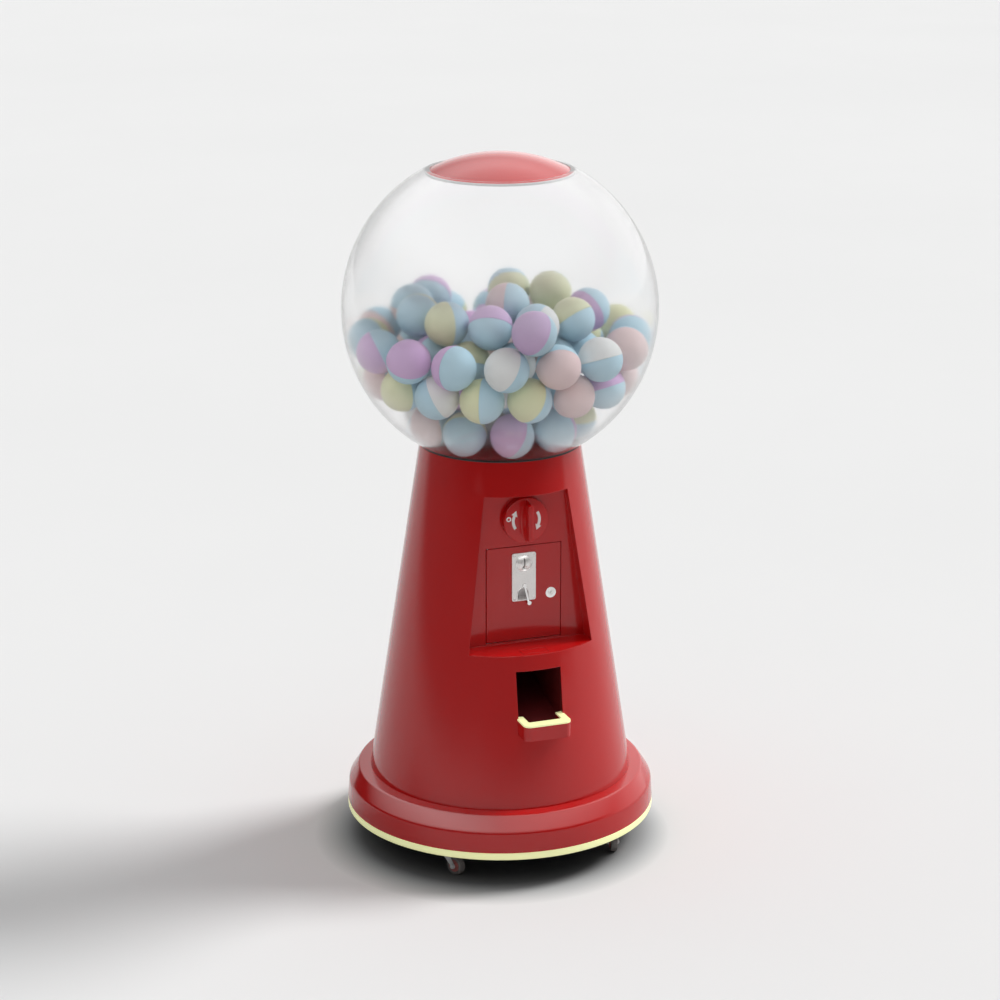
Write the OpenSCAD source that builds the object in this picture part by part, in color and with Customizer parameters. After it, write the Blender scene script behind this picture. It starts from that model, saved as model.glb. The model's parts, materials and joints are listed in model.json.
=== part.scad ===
// Floor-standing capsule machine: a clear globe of two-tone capsules on a conical housing,
// with a turning knob, a coin plate on a lockable service door, a delivery tray and four casters.
// Millimetres. Z is up, the front faces -Y, and the origin is on the floor under the globe.

/* [Casters] */
// Height of the base plate above the floor
caster_h = 78; // [76:1:90]
// Radius of a caster's tyre
tyre_r = 25; // [20:0.5:26]
// Width of a caster's tyre
tyre_w = 18; // [14:1:22]
// Radius of a caster's wheel hub
wheel_hub_r = 16; // [12:0.5:18]
// Distance from the swivel axis to the wheel's axle
caster_trail = 30; // [24:1:34]
// Distance from the base's edge to the swivel axes
caster_inset = 83; // [77:1:112]
// Length of a caster's mounting plate
caster_plate_l = 60; // [56:1:70]
// Width of a caster's mounting plate
caster_plate_w = 50; // [46:1:60]
// Thickness of the caster plates
caster_plate_t = 3; // [2:0.5:4]
// Radius of the swivel race
race_r = 20; // [17:0.5:21]
// Radius of the kingpin
kingpin_r = 5; // [4:0.5:6]
// Thickness of the fork's sheet
fork_t = 2.5; // [2:0.5:3]

/* [Base] */
// Outer radius of the base
base_r = 402; // [396:1:430]
// Thickness of the base plate
base_plate_t = 6; // [4:0.5:8]
// Height of the light band round the base
base_light_h = 19; // [15:1:26]
// Width of the light band, front to back
base_light_w = 14; // [10:1:18]
// Width of the base plate's raised rim
base_rim_w = 8; // [6:1:12]
// Height of the flange's outer wall
flange_wall_h = 53; // [40:1:70]
// How far the flange's wall leans in
flange_draft = 3.5; // [0:0.5:8]
// Height of the flange's bevel
flange_bevel_h = 39; // [25:1:50]
// Width of the flange's bevel
flange_bevel_w = 26; // [15:1:40]
// Thickness of the flange
flange_t = 5; // [3:0.5:7]
// Width of the ledge inside the flange that carries the housing
flange_ledge_w = 13; // [11:1:20]

/* [Housing] */
// Outer radius of the housing at its foot
cone_bottom_r = 341.5; // [330:0.5:350]
// Outer radius of the housing at its neck
cone_top_r = 206; // [204:0.5:215]
// Height of the housing
cone_h = 875.5; // [870:0.5:900]
// Wall thickness of the housing, measured level
housing_wall = 4; // [3:0.5:5]

/* [Recess] */
// Depth of the recess's shelf below the housing's neck
recess_drop = 485.5; // [482:0.5:488]
// Height of the recess
recess_h = 399; // [396:1:404]
// Width of the recess at its top
recess_top_w = 222; // [214:1:236]
// Width of the recess at its shelf
recess_bottom_w = 332; // [310:1:350]
// Distance of the recess's back panel from the machine's axis
panel_y = 174; // [173:0.5:180]
// Thickness of the recess's sheet
panel_t = 3; // [2:0.5:3]
// Width of the hatch in the shelf
hatch_w = 70; // [50:1:90]
// Depth of the hatch in the shelf
hatch_d = 30; // [20:1:34]
// Distance of the hatch from the panel
hatch_inset = 60; // [56:1:66]

/* [Service door] */
// Width of the door
door_w = 200; // [194:1:206]
// Height of the door
door_h = 249; // [246:1:250]
// Height of the door's lower edge above the shelf
door_z = 6; // [5:0.5:8]
// Gap round the door
door_gap = 1.8; // [1:0.1:2.4]
// Depth of the door's folded edges
door_edge_d = 6; // [4:0.5:8]
// Thickness of the door's folded edges
door_edge_t = 2; // [1:0.5:3]
// Radius of the door's hinge barrel
barrel_r = 3; // [2.5:0.1:3.4]
// Radius of the hinge pin
hinge_pin_r = 1.5; // [1:0.1:1.7]

/* [Coin plate] */
// Width of the coin plate
plate_w = 64; // [60:1:70]
// Height of the coin plate
plate_h = 127; // [124:1:130]
// Thickness of the coin plate
plate_t = 3; // [2:0.5:4]
// Corner radius of the coin plate
plate_corner_r = 5; // [2:0.5:8]
// Height of the coin plate's lower edge above the shelf
plate_z = 110.5; // [108:0.5:113]
// Radius of the coin slot's boss
boss_r = 21; // [18:0.5:22]
// Height of the boss above the plate's lower edge
boss_z = 99.5; // [97:0.5:101]
// How far the boss stands out
boss_h = 6; // [4:0.5:8]
// Width of the coin slot
slot_w = 3.2; // [2.4:0.1:4]
// Height of the coin slot
slot_h = 27; // [24:0.5:28]
// Width of the coin return cup
cup_w = 29; // [26:0.5:30]
// Height of the coin return cup
cup_h = 31; // [27:0.5:32]
// Sideways place of the coin return cup
cup_x = -2.5; // [-4:0.5:0]
// Depth of the coin return cup
cup_d = 24; // [18:1:28]
// Wall thickness of the coin return cup
cup_wall = 2; // [1.5:0.5:2.5]
// Depth of the coin mechanism behind the door
mech_d = 65; // [55:1:66]
// Width of the coin mechanism
mech_w = 54; // [44:1:60]
// Length of the return lever
lever_l = 47.5; // [44:0.5:50]
// Radius of the return lever's knob
lever_knob_r = 5.5; // [4.5:0.5:6]
// Radius of a plate screw's head
plate_screw_r = 2.6; // [2.2:0.1:3.2]

/* [Lock] */
// Sideways place of the lock
lock_x = 73; // [68:0.5:76]
// Height of the lock above the shelf
lock_z = 124; // [112:0.5:140]
// Radius of the lock's front ring
lock_r = 14; // [12:0.5:16]
// Radius of the lock's barrel
lock_barrel_r = 9.5; // [8:0.5:10]
// Radius of the key plug
plug_r = 6; // [5:0.5:7]
// Length of the lock's cam
cam_l = 38; // [35:0.5:40]
// Width of the lock's cam
cam_w = 13; // [10:0.5:16]
// Thickness of the lock's cam
cam_t = 3; // [2:0.5:3]

/* [Knob] */
// Radius of the knob's disc
knob_r = 59; // [54:0.5:62]
// Thickness of the knob's disc
knob_t = 18; // [14:0.5:22]
// Height of the knob's axis above the shelf
knob_z = 328; // [326:0.5:330]
// Length of the grip bar at its root
grip_l = 113; // [90:1:114]
// Width of the grip bar at its root
grip_root_w = 26; // [20:1:30]
// Length of the grip bar at its front
grip_front_l = 98; // [80:1:104]
// Width of the grip bar at its front
grip_front_w = 15; // [10:1:18]
// How far the grip bar stands out of the disc
grip_h = 36; // [26:1:40]
// Radius of the arrow marks, measured to the middle of the stroke
arrow_r = 35; // [31:0.5:39]
// Stroke width of the arrow marks
arrow_w = 7.5; // [5:0.5:9]
// Thickness of the printed marks
mark_t = 0.4; // [0.3:0.1:0.8]

/* [Drive] */
// Radius of the knob's shaft and of the dispensing wheel's shaft
shaft_r = 8; // [7:0.5:9]
// Pitch radius of the two mitre gears
gear_r = 32; // [30:0.5:32]
// Face width of the mitre gears
gear_face = 9; // [7:0.5:10]
// Teeth on each mitre gear
gear_teeth = 20; // [16:4:20]
// Height of a gear tooth above the pitch circle
tooth_add = 2.6; // [2:0.1:2.8]
// Radius of the shaft collar
collar_r = 14; // [12:0.5:16]

/* [Hopper and dispensing wheel] */
// Inner radius of the hopper
hopper_r = 166; // [165.5:0.1:166.4]
// Wall thickness of the hopper
hopper_wall = 3; // [2:0.2:3]
// Depth of the hopper below the housing's neck
hopper_h = 116.5; // [115:0.5:120]
// Thickness of the hopper's floor
hopper_floor_t = 5; // [4:0.5:7]
// Thickness of the seat ring round the hopper
seat_t = 6; // [4:0.5:8]
// Outer radius of the dispensing wheel
wheel_r = 163; // [162:0.5:164]
// Distance of the pockets from the wheel's axis
pocket_ring_r = 102; // [101:0.5:103]
// Radius of a pocket
pocket_r = 58; // [56.5:0.5:58]
// Number of pockets
pocket_count = 4; // [4]
// Wall thickness of the moulded wheel
wheel_wall = 3; // [2:0.5:3.5]
// Inner radius of the drop tube
tube_r = 59.5; // [58:0.5:60]
// Wall thickness of the drop tube
tube_wall = 2.5; // [2:0.5:3]
// Thickness of the outlet guard
guard_t = 3; // [2:0.5:3.5]

/* [Chute and tray] */
// Inner width of the chute and of its opening
chute_w = 120; // [114:1:122]
// Depth of the opening's top edge below the recess's shelf
opening_drop = 39; // [36:1:42]
// Wall thickness of the chute
chute_wall = 2.5; // [2:0.5:3]
// Rise of the chute's floor for each unit of depth
chute_slope = 0.3; // [0.26:0.01:0.3]
// Rise of the chute's roof for each unit of depth
roof_slope = 0.25; // [0.22:0.01:0.25]
// Depth of the tray's underside below the recess's shelf
tray_drop = 199; // [194:1:204]
// Height of the tray
tray_h = 41; // [36:1:50]
// Distance of the tray's front from the machine's axis
tray_front_y = 360; // [350:1:375]
// Outer width of the tray
tray_w = 126; // [124:1:134]
// Width of the tray's side walls
tray_side_w = 19; // [14:1:22]
// Width of the tray's front wall
tray_front_w = 28; // [16:1:30]
// Outer corner radius of the tray
tray_corner_r = 18; // [10:1:22]
// Inner corner radius of the tray
tray_inner_r = 5; // [2:0.5:8]
// Thickness of the tray's floor
tray_floor_t = 3; // [2:0.5:4]
// Thickness of the tray's light strip
strip_t = 4; // [3:0.5:6]
// How far the tray's arms reach behind the housing's wall
tray_arm_d = 14; // [8:1:20]

/* [Cash box] */
// Width of the cash box
cash_w = 160; // [140:1:170]
// Depth of the cash box
cash_d = 128; // [110:1:128]
// Height of the cash box
cash_h = 58; // [45:1:59]
// Height of the cash shelf above the recess's shelf
cash_z = 42; // [40:0.5:44]
// Sheet thickness of the cash box
cash_wall = 1.5; // [1:0.5:2]
// Thickness of the cash shelf
cash_shelf_t = 3; // [2:0.5:4]

/* [Globe and lid] */
// Outer radius of the globe
globe_r = 400; // [396:1:410]
// Wall thickness of the globe
globe_wall = 5; // [4:0.5:6]
// Outer radius of the globe's lower opening
neck_r = 207.5; // [206.5:0.5:210]
// Thickness of the seal under the globe
seal_t = 3.5; // [2:0.5:5]
// How far the lid's curve lies inside the globe's
lid_set = 6; // [4:0.5:8]
// Radius of the lid's rim
lid_rim_r = 184; // [170:1:190]
// Thickness of the lid
lid_t = 4; // [3:0.5:6]
// Gap between the lid and the globe
lid_gap = 1.5; // [1:0.1:3]
// Thickness of the seal under the lid
lid_seal_t = 6; // [4:0.5:8]
// Width of the lid's seat on its seal
lid_seat_w = 8; // [6:0.5:10]
// Depth of the lid's skirt
lid_skirt_h = 8; // [6:0.5:12]

/* [Capsules] */
// Radius of a capsule as a share of the globe's
capsule_share = 0.1375; // [0.125:0.0005:0.1375]
// Wall thickness of a capsule
capsule_wall = 2.5; // [1.5:0.5:4]

/* [Power] */
// Width of the power inlet's flange
inlet_w = 48; // [44:1:52]
// Height of the power inlet's flange
inlet_h = 28; // [26:1:30]
// Height of the power inlet above the housing's foot
inlet_z = 45; // [40:1:60]
// Length of the light supply's case
supply_l = 120; // [90:1:140]
// Width of the light supply's case
supply_w = 60; // [45:1:70]
// Height of the light supply's case
supply_h = 32; // [25:1:40]

/* [Clearances] */
// Radial gap of a shaft in its bearing
fit = 0.05; // [0.02:0.01:0.1]
// Gap between faces that slide on each other
slide_gap = 0.3; // [0.2:0.05:0.5]
// Gap between a moving piece and what it passes
pass_gap = 1.5; // [1:0.1:2]

/* [Hidden] */
$fn = 96;

// Colours
red = "firebrick";
pale_light = "khaki";
steel = "silver";
dark_steel = "dimgray";
rubber_black = [0.12, 0.12, 0.12];

// Heights above the floor
light_z = caster_h;
flange_z = light_z + base_light_h;
bevel_z = flange_z + flange_wall_h;
cone_z = bevel_z + flange_bevel_h;
neck_z = cone_z + cone_h;
globe_cut_z = neck_z + seal_t;
globe_z = globe_cut_z + sqrt(globe_r * globe_r - neck_r * neck_r);
shelf_z = neck_z - recess_drop;
recess_top_z = shelf_z + recess_h;
door_low_z = shelf_z + door_z;
door_top_z = door_low_z + door_h;
plate_low_z = shelf_z + plate_z;
knob_axis_z = shelf_z + knob_z;
lock_axis_z = shelf_z + lock_z;
opening_z = shelf_z - opening_drop;
tray_low_z = shelf_z - tray_drop;
tray_floor_z = tray_low_z + tray_floor_t;
tray_top_z = tray_low_z + tray_h;
hopper_z = neck_z - hopper_h;
hopper_floor_z = hopper_z + hopper_floor_t;
cash_shelf_z = shelf_z + cash_z;
cash_low_z = cash_shelf_z + cash_shelf_t;
lid_r = globe_r - lid_set;
lid_z = globe_z + sqrt(lid_r * lid_r - lid_rim_r * lid_rim_r);

// Housing
cone_lean = atan((cone_bottom_r - cone_top_r) / cone_h);
reach = base_r + 50;
cone_lip_t = 4;
screw_r = 2.5;
screw_head_r = 4.2;
screw_head_t = 3;
base_screw_count = 12;
ledge_screw_count = 8;
base_screw_ring_r = base_r - base_light_w - base_rim_w / 2 - 0.5;
ledge_screw_ring_r = cone_bottom_r - housing_wall - screw_head_r - 1;

// Recess and door
recess_lean = atan((recess_bottom_w - recess_top_w) / 2 / recess_h);
panel_back_y = -(panel_y - panel_t);
door_half = door_w / 2;
door_frame_half = door_half + door_gap;
hinge_x = -(door_half - barrel_r);
hinge_y = panel_back_y;
lug_w = 12;
lug_d = 7;
lug_h = 10;
strike_t = 2;

// Coin plate
plate_face_y = -(panel_y + plate_t);
plate_screw_inset = 6;
plate_screw_shank_r = 1.5;
plate_screw_head_t = 1.2;
cup_low_z = plate_low_z + cup_wall + 0.5;
cup_top_z = cup_low_z + cup_h;
cup_round_z = cup_top_z - cup_w / 2;
lever_x = 1;
lever_z = cup_top_z + cup_wall + 5;
lever_lean = 13.5;
lever_w = 5;
lever_t = 3;
lever_knob_t = 8;
lever_pin_r = 2.5;
lever_pin_l = 30;
slot_z = plate_low_z + boss_z;
notch_r = 9;
mech_low_z = plate_low_z + 4.5;
mech_top_z = plate_low_z + plate_h - 4.5;
coin_path_d = 32;

// Lock
lock_ring_t = 2.5;
lock_back_y = panel_back_y + door_edge_d - 0.5;
cam_y = panel_back_y + door_edge_d + slide_gap + 0.2;
keyway_w = 1.6;
keyway_h = 8;
keyway_d = 4;

// Knob
knob_back_y = -(panel_y + slide_gap + 0.2);
knob_face_y = knob_back_y - knob_t;
knob_bore_d = knob_t - 4;
bush_r = 12;
bush_flange_r = 18;
bush_flange_t = 4;
bush_l = 8;
collar_t = 8;
hanger_w = 36;
hanger_t = 8;
hanger_y = -(gear_r + 30);
hanger_foot = 18;

// Drive
gear_ratio_scale = (gear_r - gear_face) / gear_r;
gear_pitch = 360 / gear_teeth;
tooth_ded = 3.4;
gear_hub_r = 15;
gear_hub_t = 10;
wheel_gear_back = 2.6;
boss_below = 6;
hopper_boss_r = 16;

// Wheel
wheel_z = hopper_floor_z + 1;
wheel_top_z = neck_z - pass_gap;
wheel_h = wheel_top_z - wheel_z;
wheel_hub_out_r = 16;
nut_r = 15;
nut_t = 7;

// Chute
chute_back_y = pocket_ring_r + tube_r + chute_wall;
roof_front_y = pocket_ring_r - tube_r - chute_wall - 2;
function floor_at(y) = tray_floor_z + chute_slope * (y + cone_r(tray_floor_z));
function roof_at(y) = opening_z + roof_slope * (y + cone_r(opening_z));
roof_z = roof_at(roof_front_y);

// Globe
globe_in_r = globe_r - globe_wall;
fill_r = lid_rim_r + lid_gap;
seal_in_r = lid_rim_r - lid_seat_w;
guard_inset = 15;
guard_arm_w = 100;
guard_overlap = 8;

// Capsules, whose pile grows with the globe
capsule_r = globe_r * capsule_share;
pile_scale = capsule_r / 55;

// Power inlet
inlet_body_w = 27;
inlet_body_h = 20;
inlet_body_d = 22;
inlet_flange_t = 2.5;

// Casters: each swivel's place round the base and the way its fork trails
caster_ring_r = base_r - caster_inset;
caster_angles = [-135, -45, 135, 45];
caster_headings = [-63, -101, 200, -20];
caster_hole_x = caster_plate_l / 2 - 8;
caster_hole_y = caster_plate_w / 2 - 8;
caster_bolt_r = 3;
caster_nut_r = 5.5;
caster_bolt_head_t = 4;
race_t = 6;
fork_top_z = caster_h - caster_plate_t - race_t - slide_gap;
fork_crown_t = 4;
rivet_t = 4;
fork_half_w = tyre_w / 2 + 2;
axle_r = 4;
axle_head_r = 7;
axle_head_t = 3;

// Outer radius of the housing at a height
function cone_r(z) = cone_bottom_r + (cone_top_r - cone_bottom_r) * (z - cone_z) / cone_h;
// Inner radius of the globe at a height
function globe_inner_at(z) = sqrt(globe_in_r * globe_in_r - pow(z - globe_z, 2));
// Half the recess's width at a height
function recess_half(z) = recess_bottom_w / 2
    - (recess_bottom_w - recess_top_w) / 2 * (z - shelf_z) / recess_h;

// A box from its two corners
module block(low, high) {
    translate(low) cube(high - low);
}

// A cylinder along Y from one depth to the next
module rod_y(r, y_from, y_to) {
    translate([0, y_to, 0]) rotate([90, 0, 0]) cylinder(r = r, h = y_to - y_from);
}

// An outline drawn in the front view, filling one depth to the next
module front_slab(y_from, y_to) {
    translate([0, y_to, 0]) rotate([90, 0, 0]) linear_extrude(height = y_to - y_from) children();
}

// A flat ring
module ring(r_in, r_out, z_from, z_to) {
    translate([0, 0, z_from]) difference() {
        cylinder(r = r_out, h = z_to - z_from);
        translate([0, 0, -1]) cylinder(r = r_in, h = z_to - z_from + 2);
    }
}

module rounded_rect(w, h, r) {
    for (x = [-1, 1], y = [-1, 1])
        translate([x * (w / 2 - r), y * (h / 2 - r)]) circle(r);
    square([w - 2 * r, h], center = true);
    square([w, h - 2 * r], center = true);
}

// The children, repeated round the machine's axis
module around(count, r, first = 0) {
    for (i = [0 : count - 1]) rotate([0, 0, first + i * 360 / count]) translate([r, 0, 0]) children();
}

// ---- Base ----

module caster_place(i) {
    rotate([0, 0, caster_angles[i]]) translate([caster_ring_r, 0, 0])
        rotate([0, 0, caster_headings[i] - caster_angles[i]]) children();
}

module caster_holes(r, z_from, z_to) {
    for (i = [0 : 3]) caster_place(i)
        for (x = [-1, 1], y = [-1, 1])
            translate([x * caster_hole_x, y * caster_hole_y, z_from]) cylinder(r = r, h = z_to - z_from);
}

module base_plate() {
    edge_r = base_r - base_light_w;
    color(dark_steel) difference() {
        union() {
            translate([0, 0, light_z]) cylinder(r = edge_r, h = base_plate_t);
            ring(edge_r - base_rim_w, edge_r, light_z, flange_z);
        }
        caster_holes(caster_bolt_r + fit, light_z - 1, light_z + base_plate_t + 1);
        around(base_screw_count, base_screw_ring_r)
            translate([0, 0, light_z - 1]) cylinder(r = screw_r + fit, h = base_light_h + 2);
    }
}

module base_light() {
    color(pale_light) ring(base_r - base_light_w + fit, base_r, light_z, flange_z);
}

module base_flange() {
    top_r = base_r - flange_draft;
    ridge_r = top_r - flange_bevel_w;
    ledge_r = cone_bottom_r - flange_ledge_w;
    lip_r = base_r - base_light_w - base_rim_w;
    color(red) difference() {
        rotate_extrude() polygon([
            [lip_r, flange_z], [base_r, flange_z], [top_r, bevel_z], [ridge_r, cone_z],
            [ledge_r, cone_z], [ledge_r, cone_z - flange_t], [ridge_r - flange_t / 2, cone_z - flange_t],
            [top_r - flange_t, bevel_z - flange_t / 2], [base_r - flange_t, flange_z + flange_t],
            [lip_r, flange_z + flange_t]
        ]);
        around(base_screw_count, base_screw_ring_r)
            translate([0, 0, flange_z - 1]) cylinder(r = screw_r + fit, h = flange_t + 2);
        around(ledge_screw_count, ledge_screw_ring_r, 180 / ledge_screw_count)
            translate([0, 0, cone_z - flange_t - 1]) cylinder(r = screw_r + fit, h = flange_t + 2);
    }
}

module housing_screws() {
    color(steel) {
        around(base_screw_count, base_screw_ring_r) {
            translate([0, 0, light_z - screw_head_t]) cylinder(r = screw_head_r, h = screw_head_t);
            translate([0, 0, light_z]) cylinder(r = screw_r, h = base_light_h + flange_t);
        }
        around(ledge_screw_count, ledge_screw_ring_r, 180 / ledge_screw_count) {
            translate([0, 0, cone_z + cone_lip_t]) cylinder(r = screw_head_r, h = screw_head_t);
            translate([0, 0, cone_z - flange_t]) cylinder(r = screw_r, h = flange_t + cone_lip_t);
            translate([0, 0, cone_z - flange_t - screw_head_t])
                cylinder(r = screw_head_r, h = screw_head_t, $fn = 6);
        }
    }
}

// ---- Housing ----

module cone_body(inset) {
    translate([0, 0, cone_z]) cylinder(r1 = cone_bottom_r - inset, r2 = cone_top_r - inset, h = cone_h);
}

// The recess's outline, grown by a sheet's thickness
module recess_outline(grow) {
    side = grow / cos(recess_lean);
    low = shelf_z - grow;
    high = recess_top_z + grow;
    polygon([
        [-recess_half(low) - side, low], [recess_half(low) + side, low],
        [recess_half(high) + side, high], [-recess_half(high) - side, high]
    ]);
}

module inlet_place() {
    z = cone_z + inlet_z;
    translate([0, cone_r(z), z]) rotate([cone_lean - 90, 0, 0]) children();
}

module cone_housing() {
    lip_r = cone_bottom_r - flange_ledge_w;
    lip_top_z = cone_z + cone_lip_t;
    color(red) difference() {
        rotate_extrude() polygon([
            [lip_r, cone_z], [cone_bottom_r, cone_z], [cone_top_r, neck_z],
            [cone_top_r - housing_wall, neck_z],
            [cone_r(lip_top_z) - housing_wall, lip_top_z], [lip_r, lip_top_z]
        ]);
        front_slab(-reach, -panel_y) recess_outline(0);
        block([-chute_w / 2, -reach, tray_floor_z], [chute_w / 2, 0, opening_z]);
        around(ledge_screw_count, ledge_screw_ring_r, 180 / ledge_screw_count)
            translate([0, 0, cone_z - 1]) cylinder(r = screw_r + fit, h = cone_lip_t + 2);
        inlet_place() translate([0, 0, -inlet_body_d / 2])
            cube([inlet_body_w + 1, inlet_body_h + 1, inlet_body_d], center = true);
        inlet_place() translate([0, 0, inlet_body_d / 2 - 1])
            cube([inlet_body_w + 1, inlet_body_h + 1, inlet_body_d], center = true);
    }
}

module hatch_block(grow) {
    y_back = -(panel_y + hatch_inset) + grow;
    block([-hatch_w / 2 - grow, y_back - hatch_d - 2 * grow, shelf_z - panel_t - grow * 2],
        [hatch_w / 2 + grow, y_back, shelf_z + grow * 2]);
}

module recess_liner() {
    color(red) {
        difference() {
            intersection() {
                cone_body(housing_wall);
                front_slab(-reach, panel_back_y) recess_outline(panel_t);
            }
            front_slab(-reach - 1, -panel_y) recess_outline(0);
            block([-door_frame_half, -panel_y - 1, door_low_z - door_gap],
                [door_frame_half, panel_back_y + 1, door_top_z + door_gap]);
            translate([0, 0, knob_axis_z]) rod_y(bush_r + fit, -panel_y - 1, panel_back_y + 1);
            hinge_line() translate([0, 0, door_low_z - lug_h])
                cylinder(r = hinge_pin_r + fit, h = door_h + 2 * lug_h);
            hatch_block(0.5);
        }
        block([door_frame_half, panel_back_y, door_low_z - door_gap],
            [door_frame_half + strike_t, panel_back_y + door_edge_d, door_top_z + door_gap]);
    }
}

module shelf_hatch() {
    color(red) hatch_block(0);
}

module hinge_line() {
    translate([hinge_x, hinge_y, 0]) children();
}

module door_hinge() {
    pin_over = 8;
    color(steel) hinge_line() {
        translate([0, 0, door_low_z - door_gap - pin_over])
            cylinder(r = hinge_pin_r, h = door_h + 2 * door_gap + 2 * pin_over);
        block([-lug_w / 2, 0, door_low_z - door_gap - lug_h], [lug_w / 2, lug_d, door_low_z - door_gap]);
        block([-lug_w / 2, 0, door_top_z + door_gap], [lug_w / 2, lug_d, door_top_z + door_gap + lug_h]);
    }
}

// ---- Hopper and globe ----

module seat_ring() {
    low_z = neck_z - seat_t;
    in_r = hopper_r + hopper_wall;
    color(dark_steel) rotate_extrude() polygon([
        [in_r, low_z], [cone_r(low_z) - housing_wall, low_z],
        [cone_top_r - housing_wall, neck_z], [in_r, neck_z]
    ]);
}

module hopper() {
    color("gray") difference() {
        union() {
            ring(hopper_r, hopper_r + hopper_wall, hopper_z, neck_z);
            translate([0, 0, hopper_z]) cylinder(r = hopper_r + 0.5, h = hopper_floor_t);
            translate([0, 0, hopper_z - boss_below])
                cylinder(r = hopper_boss_r, h = boss_below + hopper_floor_t + 1 - slide_gap);
        }
        translate([0, 0, hopper_z - boss_below - 1])
            cylinder(r = shaft_r + fit, h = boss_below + hopper_floor_t + 3);
        translate([0, pocket_ring_r, hopper_z - 1]) cylinder(r = tube_r, h = hopper_floor_t + 2);
    }
}

module outlet_guard() {
    color(steel) translate([0, 0, neck_z]) linear_extrude(height = guard_t) intersection() {
        circle(neck_r - guard_inset);
        union() {
            translate([0, pocket_ring_r]) circle(pocket_r + guard_overlap);
            translate([-guard_arm_w / 2, pocket_ring_r]) square([guard_arm_w, neck_r - pocket_ring_r]);
        }
    }
}

module globe_seals() {
    color(rubber_black) {
        ring(globe_inner_at(globe_cut_z), neck_r, neck_z, globe_cut_z);
        ring(seal_in_r, globe_inner_at(lid_z), lid_z - lid_seal_t, lid_z);
    }
}

module globe() {
    color([0.8, 0.9, 1, 0.3]) difference() {
        translate([0, 0, globe_z]) sphere(globe_r);
        translate([0, 0, globe_z]) sphere(globe_in_r);
        translate([0, 0, globe_cut_z - globe_r]) cylinder(r = globe_r, h = globe_r);
        translate([0, 0, globe_z]) cylinder(r = fill_r, h = globe_r + 10);
    }
}

module lid() {
    skirt_r = seal_in_r - 1;
    color(red) difference() {
        union() {
            intersection() {
                translate([0, 0, globe_z]) sphere(lid_r);
                translate([0, 0, lid_z + slide_gap / 2]) cylinder(r = lid_rim_r, h = lid_r);
            }
            translate([0, 0, lid_z - lid_skirt_h]) cylinder(r = skirt_r, h = lid_skirt_h + 1);
        }
        intersection() {
            translate([0, 0, globe_z]) sphere(lid_r - lid_t);
            translate([0, 0, lid_z - lid_skirt_h - 1]) cylinder(r = skirt_r - lid_t, h = lid_r);
        }
    }
}

// ---- Dispensing wheel and drive ----

module pocket_places() {
    around(pocket_count, pocket_ring_r, 90) children();
}

module dispensing_wheel() {
    color("ivory") translate([0, 0, wheel_z]) difference() {
        union() {
            translate([0, 0, wheel_h - wheel_wall]) cylinder(r = wheel_r, h = wheel_wall);
            ring(wheel_r - wheel_wall, wheel_r, 0, wheel_h);
            pocket_places() cylinder(r = pocket_r + wheel_wall, h = wheel_h);
            cylinder(r = wheel_hub_out_r, h = wheel_h);
            for (i = [0 : pocket_count - 1]) rotate([0, 0, i * 360 / pocket_count])
                block([0, -wheel_wall / 2, 0], [pocket_ring_r - pocket_r, wheel_wall / 2, wheel_h]);
        }
        pocket_places() translate([0, 0, -1]) cylinder(r = pocket_r, h = wheel_h + 2);
        translate([0, 0, -1]) cylinder(r = shaft_r + fit, h = wheel_h + 2);
    }
}

module wheel_shaft() {
    low_z = knob_axis_z + gear_r - gear_face;
    color(steel) translate([0, 0, low_z]) cylinder(r = shaft_r, h = wheel_top_z + nut_t - 2 - low_z);
}

module wheel_nut() {
    color(steel) translate([0, 0, wheel_top_z]) difference() {
        union() {
            cylinder(r = nut_r, h = nut_t - 2, $fn = 6);
            cylinder(r = nut_r * 0.8, h = nut_t);
        }
        translate([0, 0, -1]) cylinder(r = shaft_r + fit, h = nut_t - 1 + fit);
    }
}

// A mitre gear whose teeth run to an apex gear_r above its large end
module mitre_gear(bore_r, hub_t) {
    tip_r = gear_r + tooth_add;
    root_r = gear_r - tooth_ded;
    difference() {
        union() {
            linear_extrude(height = gear_face, scale = gear_ratio_scale) polygon([
                for (i = [0 : gear_teeth - 1])
                    for (p = [[root_r, -0.3], [tip_r, -0.11], [tip_r, 0.11], [root_r, 0.3]])
                        let (a = (i + p[1]) * gear_pitch) [p[0] * cos(a), p[0] * sin(a)]
            ]);
            translate([0, 0, -wheel_gear_back]) cylinder(r = root_r - 1, h = wheel_gear_back);
            translate([0, 0, -hub_t]) cylinder(r = gear_hub_r, h = hub_t);
        }
        translate([0, 0, -hub_t - 1]) cylinder(r = bore_r + fit, h = hub_t + gear_face + 2);
    }
}

module wheel_gear() {
    color("goldenrod") translate([0, 0, knob_axis_z + gear_r]) rotate([180, 0, 0])
        rotate([0, 0, 90]) mitre_gear(shaft_r, wheel_gear_back);
}

module knob_gear() {
    color("goldenrod") translate([0, -gear_r, knob_axis_z]) rotate([-90, 0, 0])
        rotate([0, 0, 90 + gear_pitch / 2]) mitre_gear(shaft_r, gear_hub_t);
}

module knob_shaft() {
    color(steel) translate([0, 0, knob_axis_z]) {
        rod_y(shaft_r, knob_back_y - knob_bore_d + slide_gap, -(gear_r - gear_face));
        rod_y(collar_r, panel_back_y + bush_l + slide_gap, panel_back_y + bush_l + slide_gap + collar_t);
    }
}

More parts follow.
